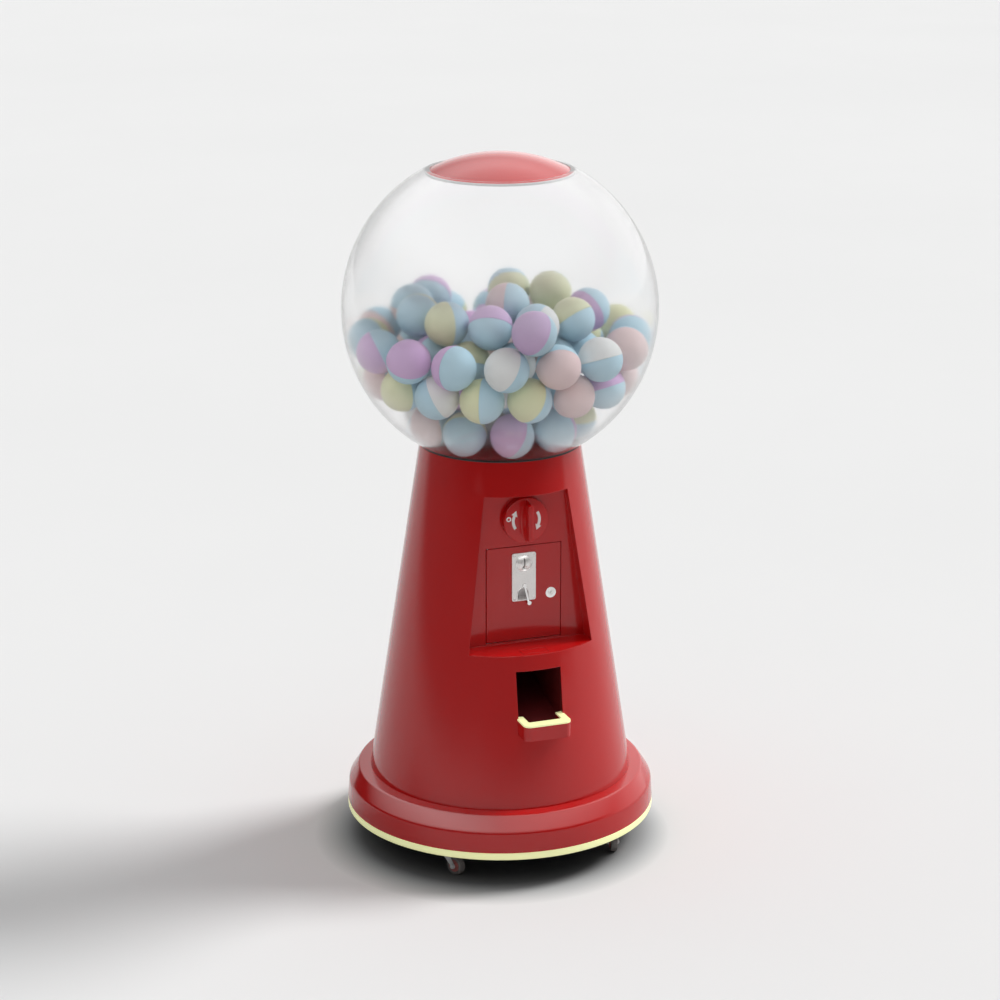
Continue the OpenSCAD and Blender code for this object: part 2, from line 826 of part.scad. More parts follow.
module shaft_bearings() {
    color("tan") difference() {
        union() {
            translate([0, 0, knob_axis_z]) {
                rod_y(bush_r, -panel_y, panel_back_y + bush_l);
                rod_y(bush_flange_r, panel_back_y, panel_back_y + bush_flange_t);
            }
            block([-hanger_w / 2, hanger_y, knob_axis_z - hanger_foot],
                [hanger_w / 2, hanger_y + hanger_t, hopper_z]);
            block([-hanger_w / 2, hanger_y - 16, hopper_z - 5],
                [hanger_w / 2, hanger_y + hanger_t, hopper_z]);
        }
        translate([0, 0, knob_axis_z]) rod_y(shaft_r + fit, -panel_y - 1, 0);
    }
}

// ---- Knob ----

// A pointed oval from two equal arcs
module lens(l, w) {
    arc_r = (l * l + w * w) / (4 * w);
    intersection() {
        translate([arc_r - w / 2, 0]) circle(arc_r, $fn = 180);
        translate([-(arc_r - w / 2), 0]) circle(arc_r, $fn = 180);
    }
}

module knob() {
    sliver = 0.2;
    color(red) translate([0, 0, knob_axis_z]) difference() {
        union() {
            rod_y(knob_r, knob_face_y, knob_back_y);
            hull() {
                front_slab(knob_face_y - sliver, knob_face_y) lens(grip_l, grip_root_w);
                front_slab(knob_face_y - grip_h, knob_face_y - grip_h + sliver)
                    lens(grip_front_l, grip_front_w);
            }
        }
        rod_y(shaft_r + fit, knob_back_y - knob_bore_d, knob_back_y + 1);
    }
}

// One curved arrow on the right of the knob, pointing down
module arrow_mark() {
    sweep = 34;
    head_l = 13;
    head_half = 8.5;
    outer_r = arrow_r + arrow_w / 2;
    intersection() {
        difference() {
            circle(outer_r);
            circle(arrow_r - arrow_w / 2);
        }
        polygon([
            [0, 0], [2 * outer_r * cos(sweep), 2 * outer_r * sin(sweep)],
            [2 * outer_r, 0], [2 * outer_r * cos(sweep - 8), -2 * outer_r * sin(sweep - 8)]
        ]);
    }
    rotate(8 - sweep) translate([arrow_r, 0])
        polygon([[-head_half, 1], [head_half, 1], [1.5, -head_l]]);
}

module knob_marks() {
    dot_x = -47;
    dot_z = 7;
    dot_r = 6.5;
    dot_in_r = 3.5;
    color("white") translate([0, 0, knob_axis_z]) front_slab(knob_face_y - mark_t, knob_face_y) {
        arrow_mark();
        rotate(180) arrow_mark();
        translate([dot_x, dot_z]) difference() {
            circle(dot_r);
            circle(dot_in_r);
        }
    }
}

// ---- Chute, tray and cash box ----

module chute_side(grow) {
    front_y = -cone_bottom_r;
    polygon([
        [front_y, floor_at(front_y) - grow], [chute_back_y + grow, floor_at(chute_back_y) - grow],
        [chute_back_y + grow, roof_z + grow], [roof_front_y, roof_z + grow],
        [front_y, roof_at(front_y) + grow]
    ]);
}

module along_x(w) {
    rotate([90, 0, 90]) linear_extrude(height = w, center = true) children();
}

module chute() {
    color(red) intersection() {
        cone_body(housing_wall);
        difference() {
            along_x(chute_w + 2 * chute_wall) chute_side(chute_wall);
            along_x(chute_w) chute_side(0);
            translate([0, pocket_ring_r, roof_z - 1]) cylinder(r = tube_r, h = chute_wall + 2);
        }
    }
}

module drop_tube() {
    color("gray") translate([0, pocket_ring_r, 0])
        ring(tube_r, tube_r + tube_wall, roof_z + chute_wall, hopper_z);
}

module tray_outline() {
    rounded_tray(tray_w, tray_front_y, tray_corner_r);
}

// A rectangle from the machine's axis to a front edge with rounded corners
module rounded_tray(w, front, r) {
    for (x = [-1, 1]) translate([x * (w / 2 - r), -(front - r)]) circle(r);
    translate([-w / 2 + r, -front]) square([w - 2 * r, front]);
    translate([-w / 2, -(front - r)]) square([w, front - r]);
}

// The tray's walls, outside the housing and as two arms in its opening
module tray_walls(z_from, z_to) {
    translate([0, 0, z_from]) linear_extrude(height = z_to - z_from) difference() {
        tray_outline();
        rounded_tray(tray_w - 2 * tray_side_w, tray_front_y - tray_front_w, tray_inner_r);
    }
}

// Keeps what lies outside the housing, and inside the opening as far as the arms reach
module outside_housing() {
    arm_half = chute_w / 2 - fit;
    arm_low_z = tray_floor_z + 2 * chute_slope * tray_arm_d;
    difference() {
        children();
        difference() {
            cone_body(0);
            block([-arm_half, -reach, arm_low_z], [arm_half, 0, tray_top_z + 1]);
        }
        cone_body(tray_arm_d);
    }
}

module tray() {
    strip_z = tray_top_z - strip_t;
    color(red) outside_housing() {
        tray_walls(tray_low_z, strip_z);
        translate([0, 0, tray_low_z]) linear_extrude(height = tray_floor_t) tray_outline();
    }
}

module tray_light() {
    color(pale_light) outside_housing() tray_walls(tray_top_z - strip_t, tray_top_z);
}

cash_back_y = -30;
cash_front_y = cash_back_y - cash_d;

module cash_box() {
    color(steel) difference() {
        block([-cash_w / 2, cash_front_y, cash_low_z], [cash_w / 2, cash_back_y, cash_low_z + cash_h]);
        block([-cash_w / 2 + cash_wall, cash_front_y + cash_wall, cash_low_z + cash_wall],
            [cash_w / 2 - cash_wall, cash_back_y - cash_wall, cash_low_z + cash_h + 1]);
    }
}

module cash_shelf() {
    web_in = chute_w / 2 + chute_wall;
    web_low_z = shelf_z - 20;
    color(dark_steel) {
        block([-cash_w / 2 - 4, cash_front_y, cash_shelf_z], [cash_w / 2 + 4, cash_back_y, cash_low_z]);
        for (side = [-1, 1])
            block([side > 0 ? web_in : -web_in - cash_shelf_t, cash_front_y + 10, web_low_z],
                [side > 0 ? web_in + cash_shelf_t : -web_in, cash_back_y - 10, cash_shelf_z]);
    }
}

// ---- Service door ----

module arch(grow) {
    r = cup_w / 2 + grow;
    translate([cup_x, cup_round_z]) circle(r);
    translate([cup_x - r, cup_low_z - grow]) square([2 * r, cup_round_z - cup_low_z + grow]);
}

module plate_screw_places() {
    for (x = [-1, 1], z = [plate_screw_inset, plate_h - plate_screw_inset])
        translate([x * (plate_w / 2 - plate_screw_inset), 0, plate_low_z + z]) children();
}

module door() {
    window_w = slot_w + 6;
    low_z = door_low_z;
    color(red) difference() {
        union() {
            block([hinge_x, -panel_y, low_z], [door_half, panel_back_y, door_top_z]);
            hinge_line() translate([0, 0, low_z]) cylinder(r = barrel_r, h = door_h);
            block([door_half - door_edge_t, panel_back_y, low_z],
                [door_half, panel_back_y + door_edge_d - 1, door_top_z]);
            for (z = [low_z, door_top_z - door_edge_t])
                block([hinge_x + barrel_r + 1, panel_back_y, z],
                    [door_half, panel_back_y + door_edge_d - 1, z + door_edge_t]);
        }
        hinge_line() translate([0, 0, low_z - 1]) cylinder(r = hinge_pin_r + fit, h = door_h + 2);
        block([-window_w / 2, -panel_y - 1, slot_z - slot_h / 2 - 2],
            [window_w / 2, panel_back_y + 1, slot_z + slot_h / 2 + 2]);
        front_slab(-panel_y - 1, panel_back_y + 1) arch(cup_wall + fit);
        translate([lever_x, 0, lever_z]) rod_y(lever_pin_r + 0.5, -panel_y - 1, panel_back_y + 1);
        translate([lock_x, 0, lock_axis_z]) rod_y(lock_barrel_r + fit, -panel_y - 1, panel_back_y + 1);
        plate_screw_places() rod_y(plate_screw_shank_r + fit, -panel_y - 1, panel_back_y + 1);
    }
}

module coin_plate() {
    dome_r = (boss_r * boss_r + boss_h * boss_h) / (2 * boss_h);
    color(steel) difference() {
        union() {
            front_slab(plate_face_y, -panel_y) translate([0, plate_low_z + plate_h / 2])
                rounded_rect(plate_w, plate_h, plate_corner_r);
            intersection() {
                translate([0, plate_face_y - boss_h + dome_r, slot_z]) sphere(dome_r);
                translate([0, 0, slot_z]) rod_y(boss_r, plate_face_y - boss_h - 1, plate_face_y);
            }
        }
        block([-slot_w / 2, plate_face_y - boss_h - 1, slot_z - slot_h / 2],
            [slot_w / 2, -panel_y + 1, slot_z + slot_h / 2]);
        translate([0, plate_face_y - boss_h - 2, slot_z - slot_h / 2]) sphere(notch_r);
        front_slab(plate_face_y - 1, -panel_y + 1) arch(fit);
        translate([lever_x, 0, lever_z]) rod_y(lever_pin_r + fit, plate_face_y - 1, -panel_y + 1);
        plate_screw_places() rod_y(plate_screw_shank_r + fit, plate_face_y - 1, -panel_y + 1);
    }
}

module plate_screws() {
    color(dark_steel) plate_screw_places() {
        rod_y(plate_screw_r, plate_face_y - plate_screw_head_t, plate_face_y);
        rod_y(plate_screw_shank_r, plate_face_y, panel_back_y);
    }
}

module return_cup() {
    color(steel) difference() {
        front_slab(-panel_y, -panel_y + cup_d) arch(cup_wall);
        front_slab(-panel_y - 1, -panel_y + cup_d - cup_wall) arch(0);
    }
}

module coin_mech() {
    back_y = panel_back_y + mech_d;
    path_back_y = back_y - 7;
    color("slategray") difference() {
        block([-mech_w / 2, panel_back_y, mech_low_z], [mech_w / 2, back_y, mech_top_z]);
        block([-slot_w / 2, panel_back_y - 1, slot_z - slot_h / 2], [slot_w / 2, path_back_y, slot_z + slot_h / 2]);
        block([-slot_w / 2, path_back_y - coin_path_d, mech_low_z - 1], [slot_w / 2, path_back_y, slot_z]);
        front_slab(panel_back_y - 1, -panel_y + cup_d + fit) arch(cup_wall + fit);
        translate([lever_x, 0, lever_z])
            rod_y(lever_pin_r + fit, panel_back_y - 1, plate_face_y + lever_pin_l + 1);
    }
}

module return_lever() {
    front_y = plate_face_y - slide_gap;
    color(steel) translate([lever_x, 0, lever_z]) {
        rod_y(lever_pin_r, front_y, plate_face_y + lever_pin_l);
        rotate([0, -lever_lean, 0]) {
            front_slab(front_y - lever_t, front_y) {
                circle(lever_w);
                translate([-lever_w / 2, -lever_l]) square([lever_w, lever_l]);
            }
            translate([0, 0, -lever_l]) rod_y(lever_knob_r, front_y - lever_knob_t, front_y);
        }
    }
}

// ---- Lock ----

module lock_line() {
    translate([lock_x, 0, lock_axis_z]) children();
}

module lock_body() {
    color(steel) lock_line() difference() {
        union() {
            rod_y(lock_r, -panel_y - lock_ring_t, -panel_y);
            rod_y(lock_barrel_r, -panel_y, lock_back_y);
        }
        rod_y(plug_r + fit, -panel_y - lock_ring_t - 1, lock_back_y + 1);
    }
}

module lock_plug() {
    face_y = -panel_y - lock_ring_t - 0.8;
    color("gainsboro") lock_line() difference() {
        union() {
            rod_y(plug_r, face_y, cam_y + cam_t);
            rod_y(cam_w / 2, cam_y, cam_y + cam_t);
            block([-cam_w / 2, cam_y, -cam_l], [cam_w / 2, cam_y + cam_t, 0]);
        }
        block([-keyway_w / 2, face_y - 1, -keyway_h / 2], [keyway_w / 2, face_y + keyway_d, keyway_h / 2]);
    }
}

// ---- Power ----

module power_inlet() {
    cavity_w = 24;
    cavity_h = 17;
    cavity_d = 16;
    pin_w = 2;
    pin_h = 4;
    pin_pitch = 7;
    color(rubber_black) inlet_place() {
        difference() {
            union() {
                linear_extrude(height = inlet_flange_t) rounded_rect(inlet_w, inlet_h, 4);
                translate([0, 0, -inlet_body_d / 2])
                    cube([inlet_body_w, inlet_body_h, inlet_body_d], center = true);
            }
            translate([0, 0, inlet_flange_t - cavity_d / 2 + 1])
                cube([cavity_w, cavity_h, cavity_d + 2], center = true);
        }
        for (i = [-1 : 1])
            translate([i * pin_pitch, i == 0 ? 3 : -3, inlet_flange_t - cavity_d / 2 - 1])
                cube([pin_w, pin_h, cavity_d - 2], center = true);
    }
}

module light_supply() {
    supply_y = 200;
    color("lightgray") translate([-supply_l / 2, supply_y, light_z + base_plate_t])
        cube([supply_l, supply_w, supply_h]);
}

// ---- Casters ----

module caster_plates() {
    plate_low = caster_h - caster_plate_t;
    race_low = plate_low - race_t;
    rivet_low = fork_top_z - fork_crown_t - slide_gap - rivet_t;
    color(steel) difference() {
        for (i = [0 : 3]) caster_place(i) {
            block([-caster_plate_l / 2, -caster_plate_w / 2, plate_low],
                [caster_plate_l / 2, caster_plate_w / 2, caster_h]);
            translate([0, 0, race_low]) cylinder(r = race_r, h = race_t);
            translate([0, 0, rivet_low]) cylinder(r = kingpin_r, h = race_low - rivet_low);
            translate([0, 0, rivet_low]) cylinder(r = kingpin_r + 3, h = rivet_t);
        }
        caster_holes(caster_bolt_r + fit, plate_low - 1, caster_h + 1);
    }
}

module caster_bolts() {
    low_z = caster_h - caster_plate_t;
    top_z = caster_h + base_plate_t;
    color(steel) for (i = [0 : 3]) caster_place(i)
        for (x = [-1, 1], y = [-1, 1]) translate([x * caster_hole_x, y * caster_hole_y, 0]) {
            translate([0, 0, low_z - caster_bolt_head_t])
                cylinder(r = caster_nut_r, h = caster_bolt_head_t, $fn = 6);
            translate([0, 0, low_z]) cylinder(r = caster_bolt_r, h = top_z - low_z);
            translate([0, 0, top_z]) cylinder(r = caster_nut_r, h = caster_bolt_head_t, $fn = 6);
        }
}

module caster_fork(i) {
    crown_low_z = fork_top_z - fork_crown_t;
    crown_half = race_r * 0.75;
    leg_outer = fork_half_w + fork_t;
    color(steel) caster_place(i) difference() {
        union() {
            translate([0, 0, crown_low_z]) cylinder(r = race_r, h = fork_crown_t);
            block([-crown_half, -leg_outer, crown_low_z], [crown_half, leg_outer, fork_top_z]);
            for (side = [-1, 1])
                translate([0, side > 0 ? leg_outer : -fork_half_w, 0]) rotate([90, 0, 0])
                    linear_extrude(height = fork_t) {
                        polygon([
                            [-crown_half, fork_top_z], [-crown_half, crown_low_z - 6],
                            [caster_trail - axle_head_r, tyre_r], [caster_trail + axle_head_r, tyre_r],
                            [crown_half, crown_low_z - 6], [crown_half, fork_top_z]
                        ]);
                        translate([caster_trail, tyre_r]) circle(axle_head_r);
                    }
            translate([caster_trail, 0, tyre_r]) {
                rod_y(axle_r, -leg_outer, leg_outer);
                rod_y(axle_head_r - 1, -leg_outer - axle_head_t, -leg_outer);
                rod_y(axle_head_r - 1, leg_outer, leg_outer + axle_head_t);
            }
        }
        translate([0, 0, crown_low_z - 1]) cylinder(r = kingpin_r + fit, h = fork_crown_t + 2);
    }
}

module caster_wheel_place(i) {
    caster_place(i) translate([caster_trail, 0, tyre_r]) children();
}

module caster_hub(i) {
    hub_half = fork_half_w - slide_gap;
    groove_d = 2;
    color("rosybrown") caster_wheel_place(i) difference() {
        union() {
            rod_y(wheel_hub_r, -tyre_w / 2, tyre_w / 2);
            rod_y(axle_head_r, -hub_half, hub_half);
        }
        for (side = [-1, 1]) translate([0, side * (tyre_w / 2), 0]) difference() {
            rod_y(wheel_hub_r - 2, -groove_d, groove_d);
            rod_y(wheel_hub_r - 6, -groove_d - 1, groove_d + 1);
        }
        rod_y(axle_r + fit, -hub_half - 1, hub_half + 1);
    }
}

module caster_tyre(i) {
    shoulder = 2;
    half = tyre_w / 2;
    color("gray") caster_wheel_place(i) rotate([90, 0, 0]) rotate_extrude() polygon([
        [wheel_hub_r, -half], [tyre_r - shoulder, -half], [tyre_r, -half + shoulder],
        [tyre_r, half - shoulder], [tyre_r - shoulder, half], [wheel_hub_r, half]
    ]);
}

// ---- Capsules ----

// Rings of capsules of radius 55: ring radius, height above the globe's centre, count, first angle
capsule_rings = [
    [82, -286, 4, 45],
    [192.5, -279.5, 10, -101],
    [0, -205, 1, 0],
    [137, -183, 7, -100],
    [297.5, -163.5, 16, -118.5],
    [213, -93, 12, -101],
    [103, -78, 5, -100],
    [330.5, -77, 16, -107.25],
    [0, -38, 1, 0],
    [338.5, 13, 16, -96],
    [222, 2, 12, -116],
    [106, 33, 5, -100]
];
// The tint of each capsule's second half, ring by ring. A dot leaves a place empty
capsule_tints = [
    "MYWP",
    "MMYWPMYWPY",
    "Y",
    "WPMYWPM",
    "YYPMPMWYMPWMYPYW",
    "WPMYWPMYWPMY",
    "PWYMP",
    "WPWPMYWPMYWPYMMM",
    "Y",
    "M...............",
    "MWYM.YY.MPYY",
    "P...."
];
// Where each capsule's blue half points: an hour on a clock face seen from outside the globe
capsule_hours = [
    "0369",
    "4961482505",
    "0",
    "5A2841B",
    "3416291572A48228",
    "92B5814A7036",
    "4A172",
    "4163952B417A3173",
    "1",
    "4...............",
    "6A6253184033",
    "35198"
];
// How far the blue half leans out to whoever looks at the clock: 4 is square to it, 8 faces them
capsule_leans = [
    "4545",
    "3543546207",
    "4",
    "3546253",
    "4305046253462005",
    "453624536245",
    "46352",
    "3153453624536135",
    "4",
    "3...............",
    "626647753461",
    "54343"
];
digits = "0123456789AB";
function hour_angle(n, k) = search(capsule_hours[n][k], digits)[0] * 30;
function lean_angle(n, k) = (search(capsule_leans[n][k], digits)[0] - 4) * 20;

// A half capsule with its dome towards +Z
module half_capsule() {
    difference() {
        sphere(capsule_r);
        sphere(capsule_r - capsule_wall);
        translate([-capsule_r - 1, -capsule_r - 1, -2 * capsule_r])
            cube([2 * capsule_r + 2, 2 * capsule_r + 2, 2 * capsule_r]);
    }
}

// Half capsules of one tint, or the blue halves of all when the tint is empty
module capsule_halves(tint) {
    for (n = [0 : len(capsule_rings) - 1], k = [0 : capsule_rings[n][2] - 1]) {
        ring_now = capsule_rings[n];
        letter = capsule_tints[n][k];
        angle = ring_now[3] + k * 360 / ring_now[2];
        if (letter != "." && (tint == "" || letter == tint))
            translate([pile_scale * ring_now[0] * cos(angle), pile_scale * ring_now[0] * sin(angle),
                globe_z + pile_scale * ring_now[1]])
                rotate([0, 0, angle]) rotate([-hour_angle(n, k), 0, 0]) rotate([0, lean_angle(n, k), 0])
                    mirror([0, 0, tint == "" ? 0 : 1]) half_capsule();
    }
}

module capsules_blue() { color("lightblue") capsule_halves(""); }
module capsules_magenta() { color("plum") capsule_halves("M"); }
module capsules_yellow() { color("palegoldenrod") capsule_halves("Y"); }
module capsules_white() { color("whitesmoke") capsule_halves("W"); }
module capsules_peach() { color("mistyrose") capsule_halves("P"); }

base_plate();
base_light();
base_flange();
cone_housing();
recess_liner();
shelf_hatch();
seat_ring();
globe_seals();
globe();
hopper();
outlet_guard();
shaft_bearings();
drop_tube();
chute();
tray();
tray_light();
cash_box();
cash_shelf();
door_hinge();
caster_plates();
caster_bolts();
housing_screws();
power_inlet();
light_supply();
capsules_blue();
capsules_magenta();
capsules_yellow();
capsules_white();
capsules_peach();
knob();
knob_marks();
knob_shaft();
knob_gear();
dispensing_wheel();
wheel_shaft();
wheel_gear();
wheel_nut();
door();
coin_plate();
plate_screws();
coin_mech();
return_cup();
lock_body();
lock_plug();
return_lever();
lid();
caster_fork(0);  // caster_fork_fl
caster_hub(0);  // caster_hub_fl
caster_tyre(0);  // caster_tyre_fl
caster_fork(1);  // caster_fork_fr
caster_hub(1);  // caster_hub_fr
caster_tyre(1);  // caster_tyre_fr
caster_fork(2);  // caster_fork_bl
caster_hub(2);  // caster_hub_bl
caster_tyre(2);  // caster_tyre_bl
caster_fork(3);  // caster_fork_br
caster_hub(3);  // caster_hub_br
caster_tyre(3);  // caster_tyre_br
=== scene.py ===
"""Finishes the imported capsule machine: clear globe, lacquered housing, coin door, tray and casters."""

import json
import math

import bmesh
import bpy
import numpy as np
from mathutils import Matrix, Vector


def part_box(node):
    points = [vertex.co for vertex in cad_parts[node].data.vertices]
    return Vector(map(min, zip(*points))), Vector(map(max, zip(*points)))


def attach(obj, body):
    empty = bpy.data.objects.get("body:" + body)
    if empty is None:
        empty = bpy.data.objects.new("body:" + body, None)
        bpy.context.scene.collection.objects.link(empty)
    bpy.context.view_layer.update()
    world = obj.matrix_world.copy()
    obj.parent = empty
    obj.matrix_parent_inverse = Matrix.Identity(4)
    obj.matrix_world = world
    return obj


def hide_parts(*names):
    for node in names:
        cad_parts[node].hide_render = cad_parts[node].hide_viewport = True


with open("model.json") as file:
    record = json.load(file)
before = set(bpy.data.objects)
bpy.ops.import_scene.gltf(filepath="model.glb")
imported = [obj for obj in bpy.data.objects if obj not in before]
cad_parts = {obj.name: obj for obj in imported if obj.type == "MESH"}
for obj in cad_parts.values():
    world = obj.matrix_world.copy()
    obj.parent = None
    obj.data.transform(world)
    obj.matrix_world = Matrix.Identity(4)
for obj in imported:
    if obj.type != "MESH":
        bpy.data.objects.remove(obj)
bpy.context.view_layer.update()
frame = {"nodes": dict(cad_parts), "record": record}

bl_info = {
    "name": "Capsule machine",
    "version": (1, 0, 0),
    "blender": (4, 5, 0),
    "location": "View3D > Sidebar > Capsule machine",
    "description": "Builds and finishes a floor-standing capsule machine around its CAD parts",
    "category": "Object",
}

CORNERS = ("fl", "fr", "bl", "br")
TINTS = ("magenta", "yellow", "white", "peach")
FRONT = Matrix.Rotation(math.radians(90), 4, "X")
EDGE_SAMPLES = 6
WEAR_AND_SHADE_GRAIN = 180.0

# Each span is the part of a value's range that a finish spreads out.
NOISE_SPAN = (0.3, 0.7)
EDGE_SPAN = (0.80, 0.99)
WEAR_AND_SHADE_SPAN = (0.42, 0.62)
SPECK_SPAN = (0.60, 0.70)
SMEAR_SPAN = (0.45, 0.75)
UNDERSIDE_SPAN = (-0.8, -0.4)


# ---- Settings ----


class MachineColours(bpy.types.PropertyGroup):
    """Colours of the machine's finishes"""

    lacquer: bpy.props.FloatVectorProperty(
        name="Lacquer", description="Main colour of the red lacquer", subtype="COLOR",
        size=3, min=0, max=1, default=(0.54, 0.007, 0.007),
    )
    lacquer_shade: bpy.props.FloatVectorProperty(
        name="Lacquer shade", description="Darker red that clouds the lacquer", subtype="COLOR",
        size=3, min=0, max=1, default=(0.51, 0.006, 0.006),
    )
    glow: bpy.props.FloatVectorProperty(
        name="Light strips", description="Colour of the lit strips", subtype="COLOR",
        size=3, min=0, max=1, default=(0.86, 0.88, 0.46),
    )
    blue: bpy.props.FloatVectorProperty(
        name="Capsule blue", description="Colour of the half that all capsules share", subtype="COLOR",
        size=3, min=0, max=1, default=(0.42, 0.66, 0.78),
    )
    magenta: bpy.props.FloatVectorProperty(
        name="Capsule magenta", description="Colour of the magenta capsule halves", subtype="COLOR",
        size=3, min=0, max=1, default=(0.63, 0.36, 0.67),
    )
    yellow: bpy.props.FloatVectorProperty(
        name="Capsule yellow", description="Colour of the yellow capsule halves", subtype="COLOR",
        size=3, min=0, max=1, default=(0.73, 0.73, 0.39),
    )
    white: bpy.props.FloatVectorProperty(
        name="Capsule white", description="Colour of the white capsule halves", subtype="COLOR",
        size=3, min=0, max=1, default=(0.80, 0.80, 0.78),
    )
    peach: bpy.props.FloatVectorProperty(
        name="Capsule peach", description="Colour of the peach capsule halves", subtype="COLOR",
        size=3, min=0, max=1, default=(0.77, 0.55, 0.54),
    )


class MachineSizes(bpy.types.PropertyGroup):
    """Sizes of the details that the finishing adds"""

    flange_round: bpy.props.FloatProperty(
        name="Flange edge", description="How far the flange's edges are rounded", unit="LENGTH",
        min=0.0005, max=0.01, default=0.004,
    )
    painted_round: bpy.props.FloatProperty(
        name="Sheet edge", description="How soft the edges of painted sheet look", unit="LENGTH",
        min=0.0002, max=0.004, default=0.0015,
    )
    metal_round: bpy.props.FloatProperty(
        name="Metal edge", description="How soft the edges of metal pieces look", unit="LENGTH",
        min=0.0001, max=0.002, default=0.0006,
    )
    knob_round: bpy.props.FloatProperty(
        name="Knob edge", description="How far the knob's edges are rounded", unit="LENGTH",
        min=0.0005, max=0.006, default=0.003,
    )
    seam_band: bpy.props.FloatProperty(
        name="Seam band", description="Height of the band where one capsule half overlaps the other",
        unit="LENGTH", min=0.001, max=0.008, default=0.004,
    )
    globe_segments: bpy.props.IntProperty(
        name="Globe segments", description="Segments round the globe", min=64, max=256, default=192,
    )


class StudioSettings(bpy.types.PropertyGroup):
    """Camera, lamps and floor"""

    camera_place: bpy.props.FloatVectorProperty(
        name="Camera place", description="Where the camera stands", subtype="XYZ", unit="LENGTH",
        size=3, default=(-2.345, -6.415, 2.987),
    )
    camera_tilt: bpy.props.FloatProperty(
        name="Camera tilt", description="How far the camera looks down", subtype="ANGLE",
        default=math.radians(16.95),
    )
    camera_turn: bpy.props.FloatProperty(
        name="Camera turn", description="How far the camera turns from straight ahead", subtype="ANGLE",
        default=math.radians(-20.08),
    )
    lens: bpy.props.FloatProperty(
        name="Lens", description="Focal length in millimetres", min=20, max=200, default=100,
    )
    sun_strength: bpy.props.FloatProperty(
        name="Key strength", description="Strength of the key lamp", min=0, max=8, default=2.40,
    )
    sun_height: bpy.props.FloatProperty(
        name="Key height", description="Height of the key lamp above the horizon", subtype="ANGLE",
        default=math.radians(43),
    )
    sun_bearing: bpy.props.FloatProperty(
        name="Key bearing", description="Direction of the key lamp, from the machine's right",
        subtype="ANGLE", default=math.radians(2),
    )
    sun_size: bpy.props.FloatProperty(
        name="Key size", description="Apparent size of the key lamp, which softens shadows",
        subtype="ANGLE", default=math.radians(20),
    )
    sky_low: bpy.props.FloatProperty(
        name="Sky at the horizon", description="Strength of the soft light from the sides",
        min=0, max=2, default=0.02,
    )
    sky_high: bpy.props.FloatProperty(
        name="Sky overhead", description="Strength of the soft light from above", min=0, max=2,
        default=1.16,
    )
    backdrop: bpy.props.FloatProperty(
        name="Backdrop", description="Brightness of what is seen behind the machine", min=0, max=1,
        default=0.84,
    )
    mirror_low: bpy.props.FloatProperty(
        name="Dark reflections", description="Brightness that gloss mirrors from near the horizon",
        min=0, max=2, default=0.05,
    )
    mirror_high: bpy.props.FloatProperty(
        name="Bright reflections", description="Brightness that gloss mirrors from above",
        min=0, max=4, default=2.4,
    )


# ---- Materials ----


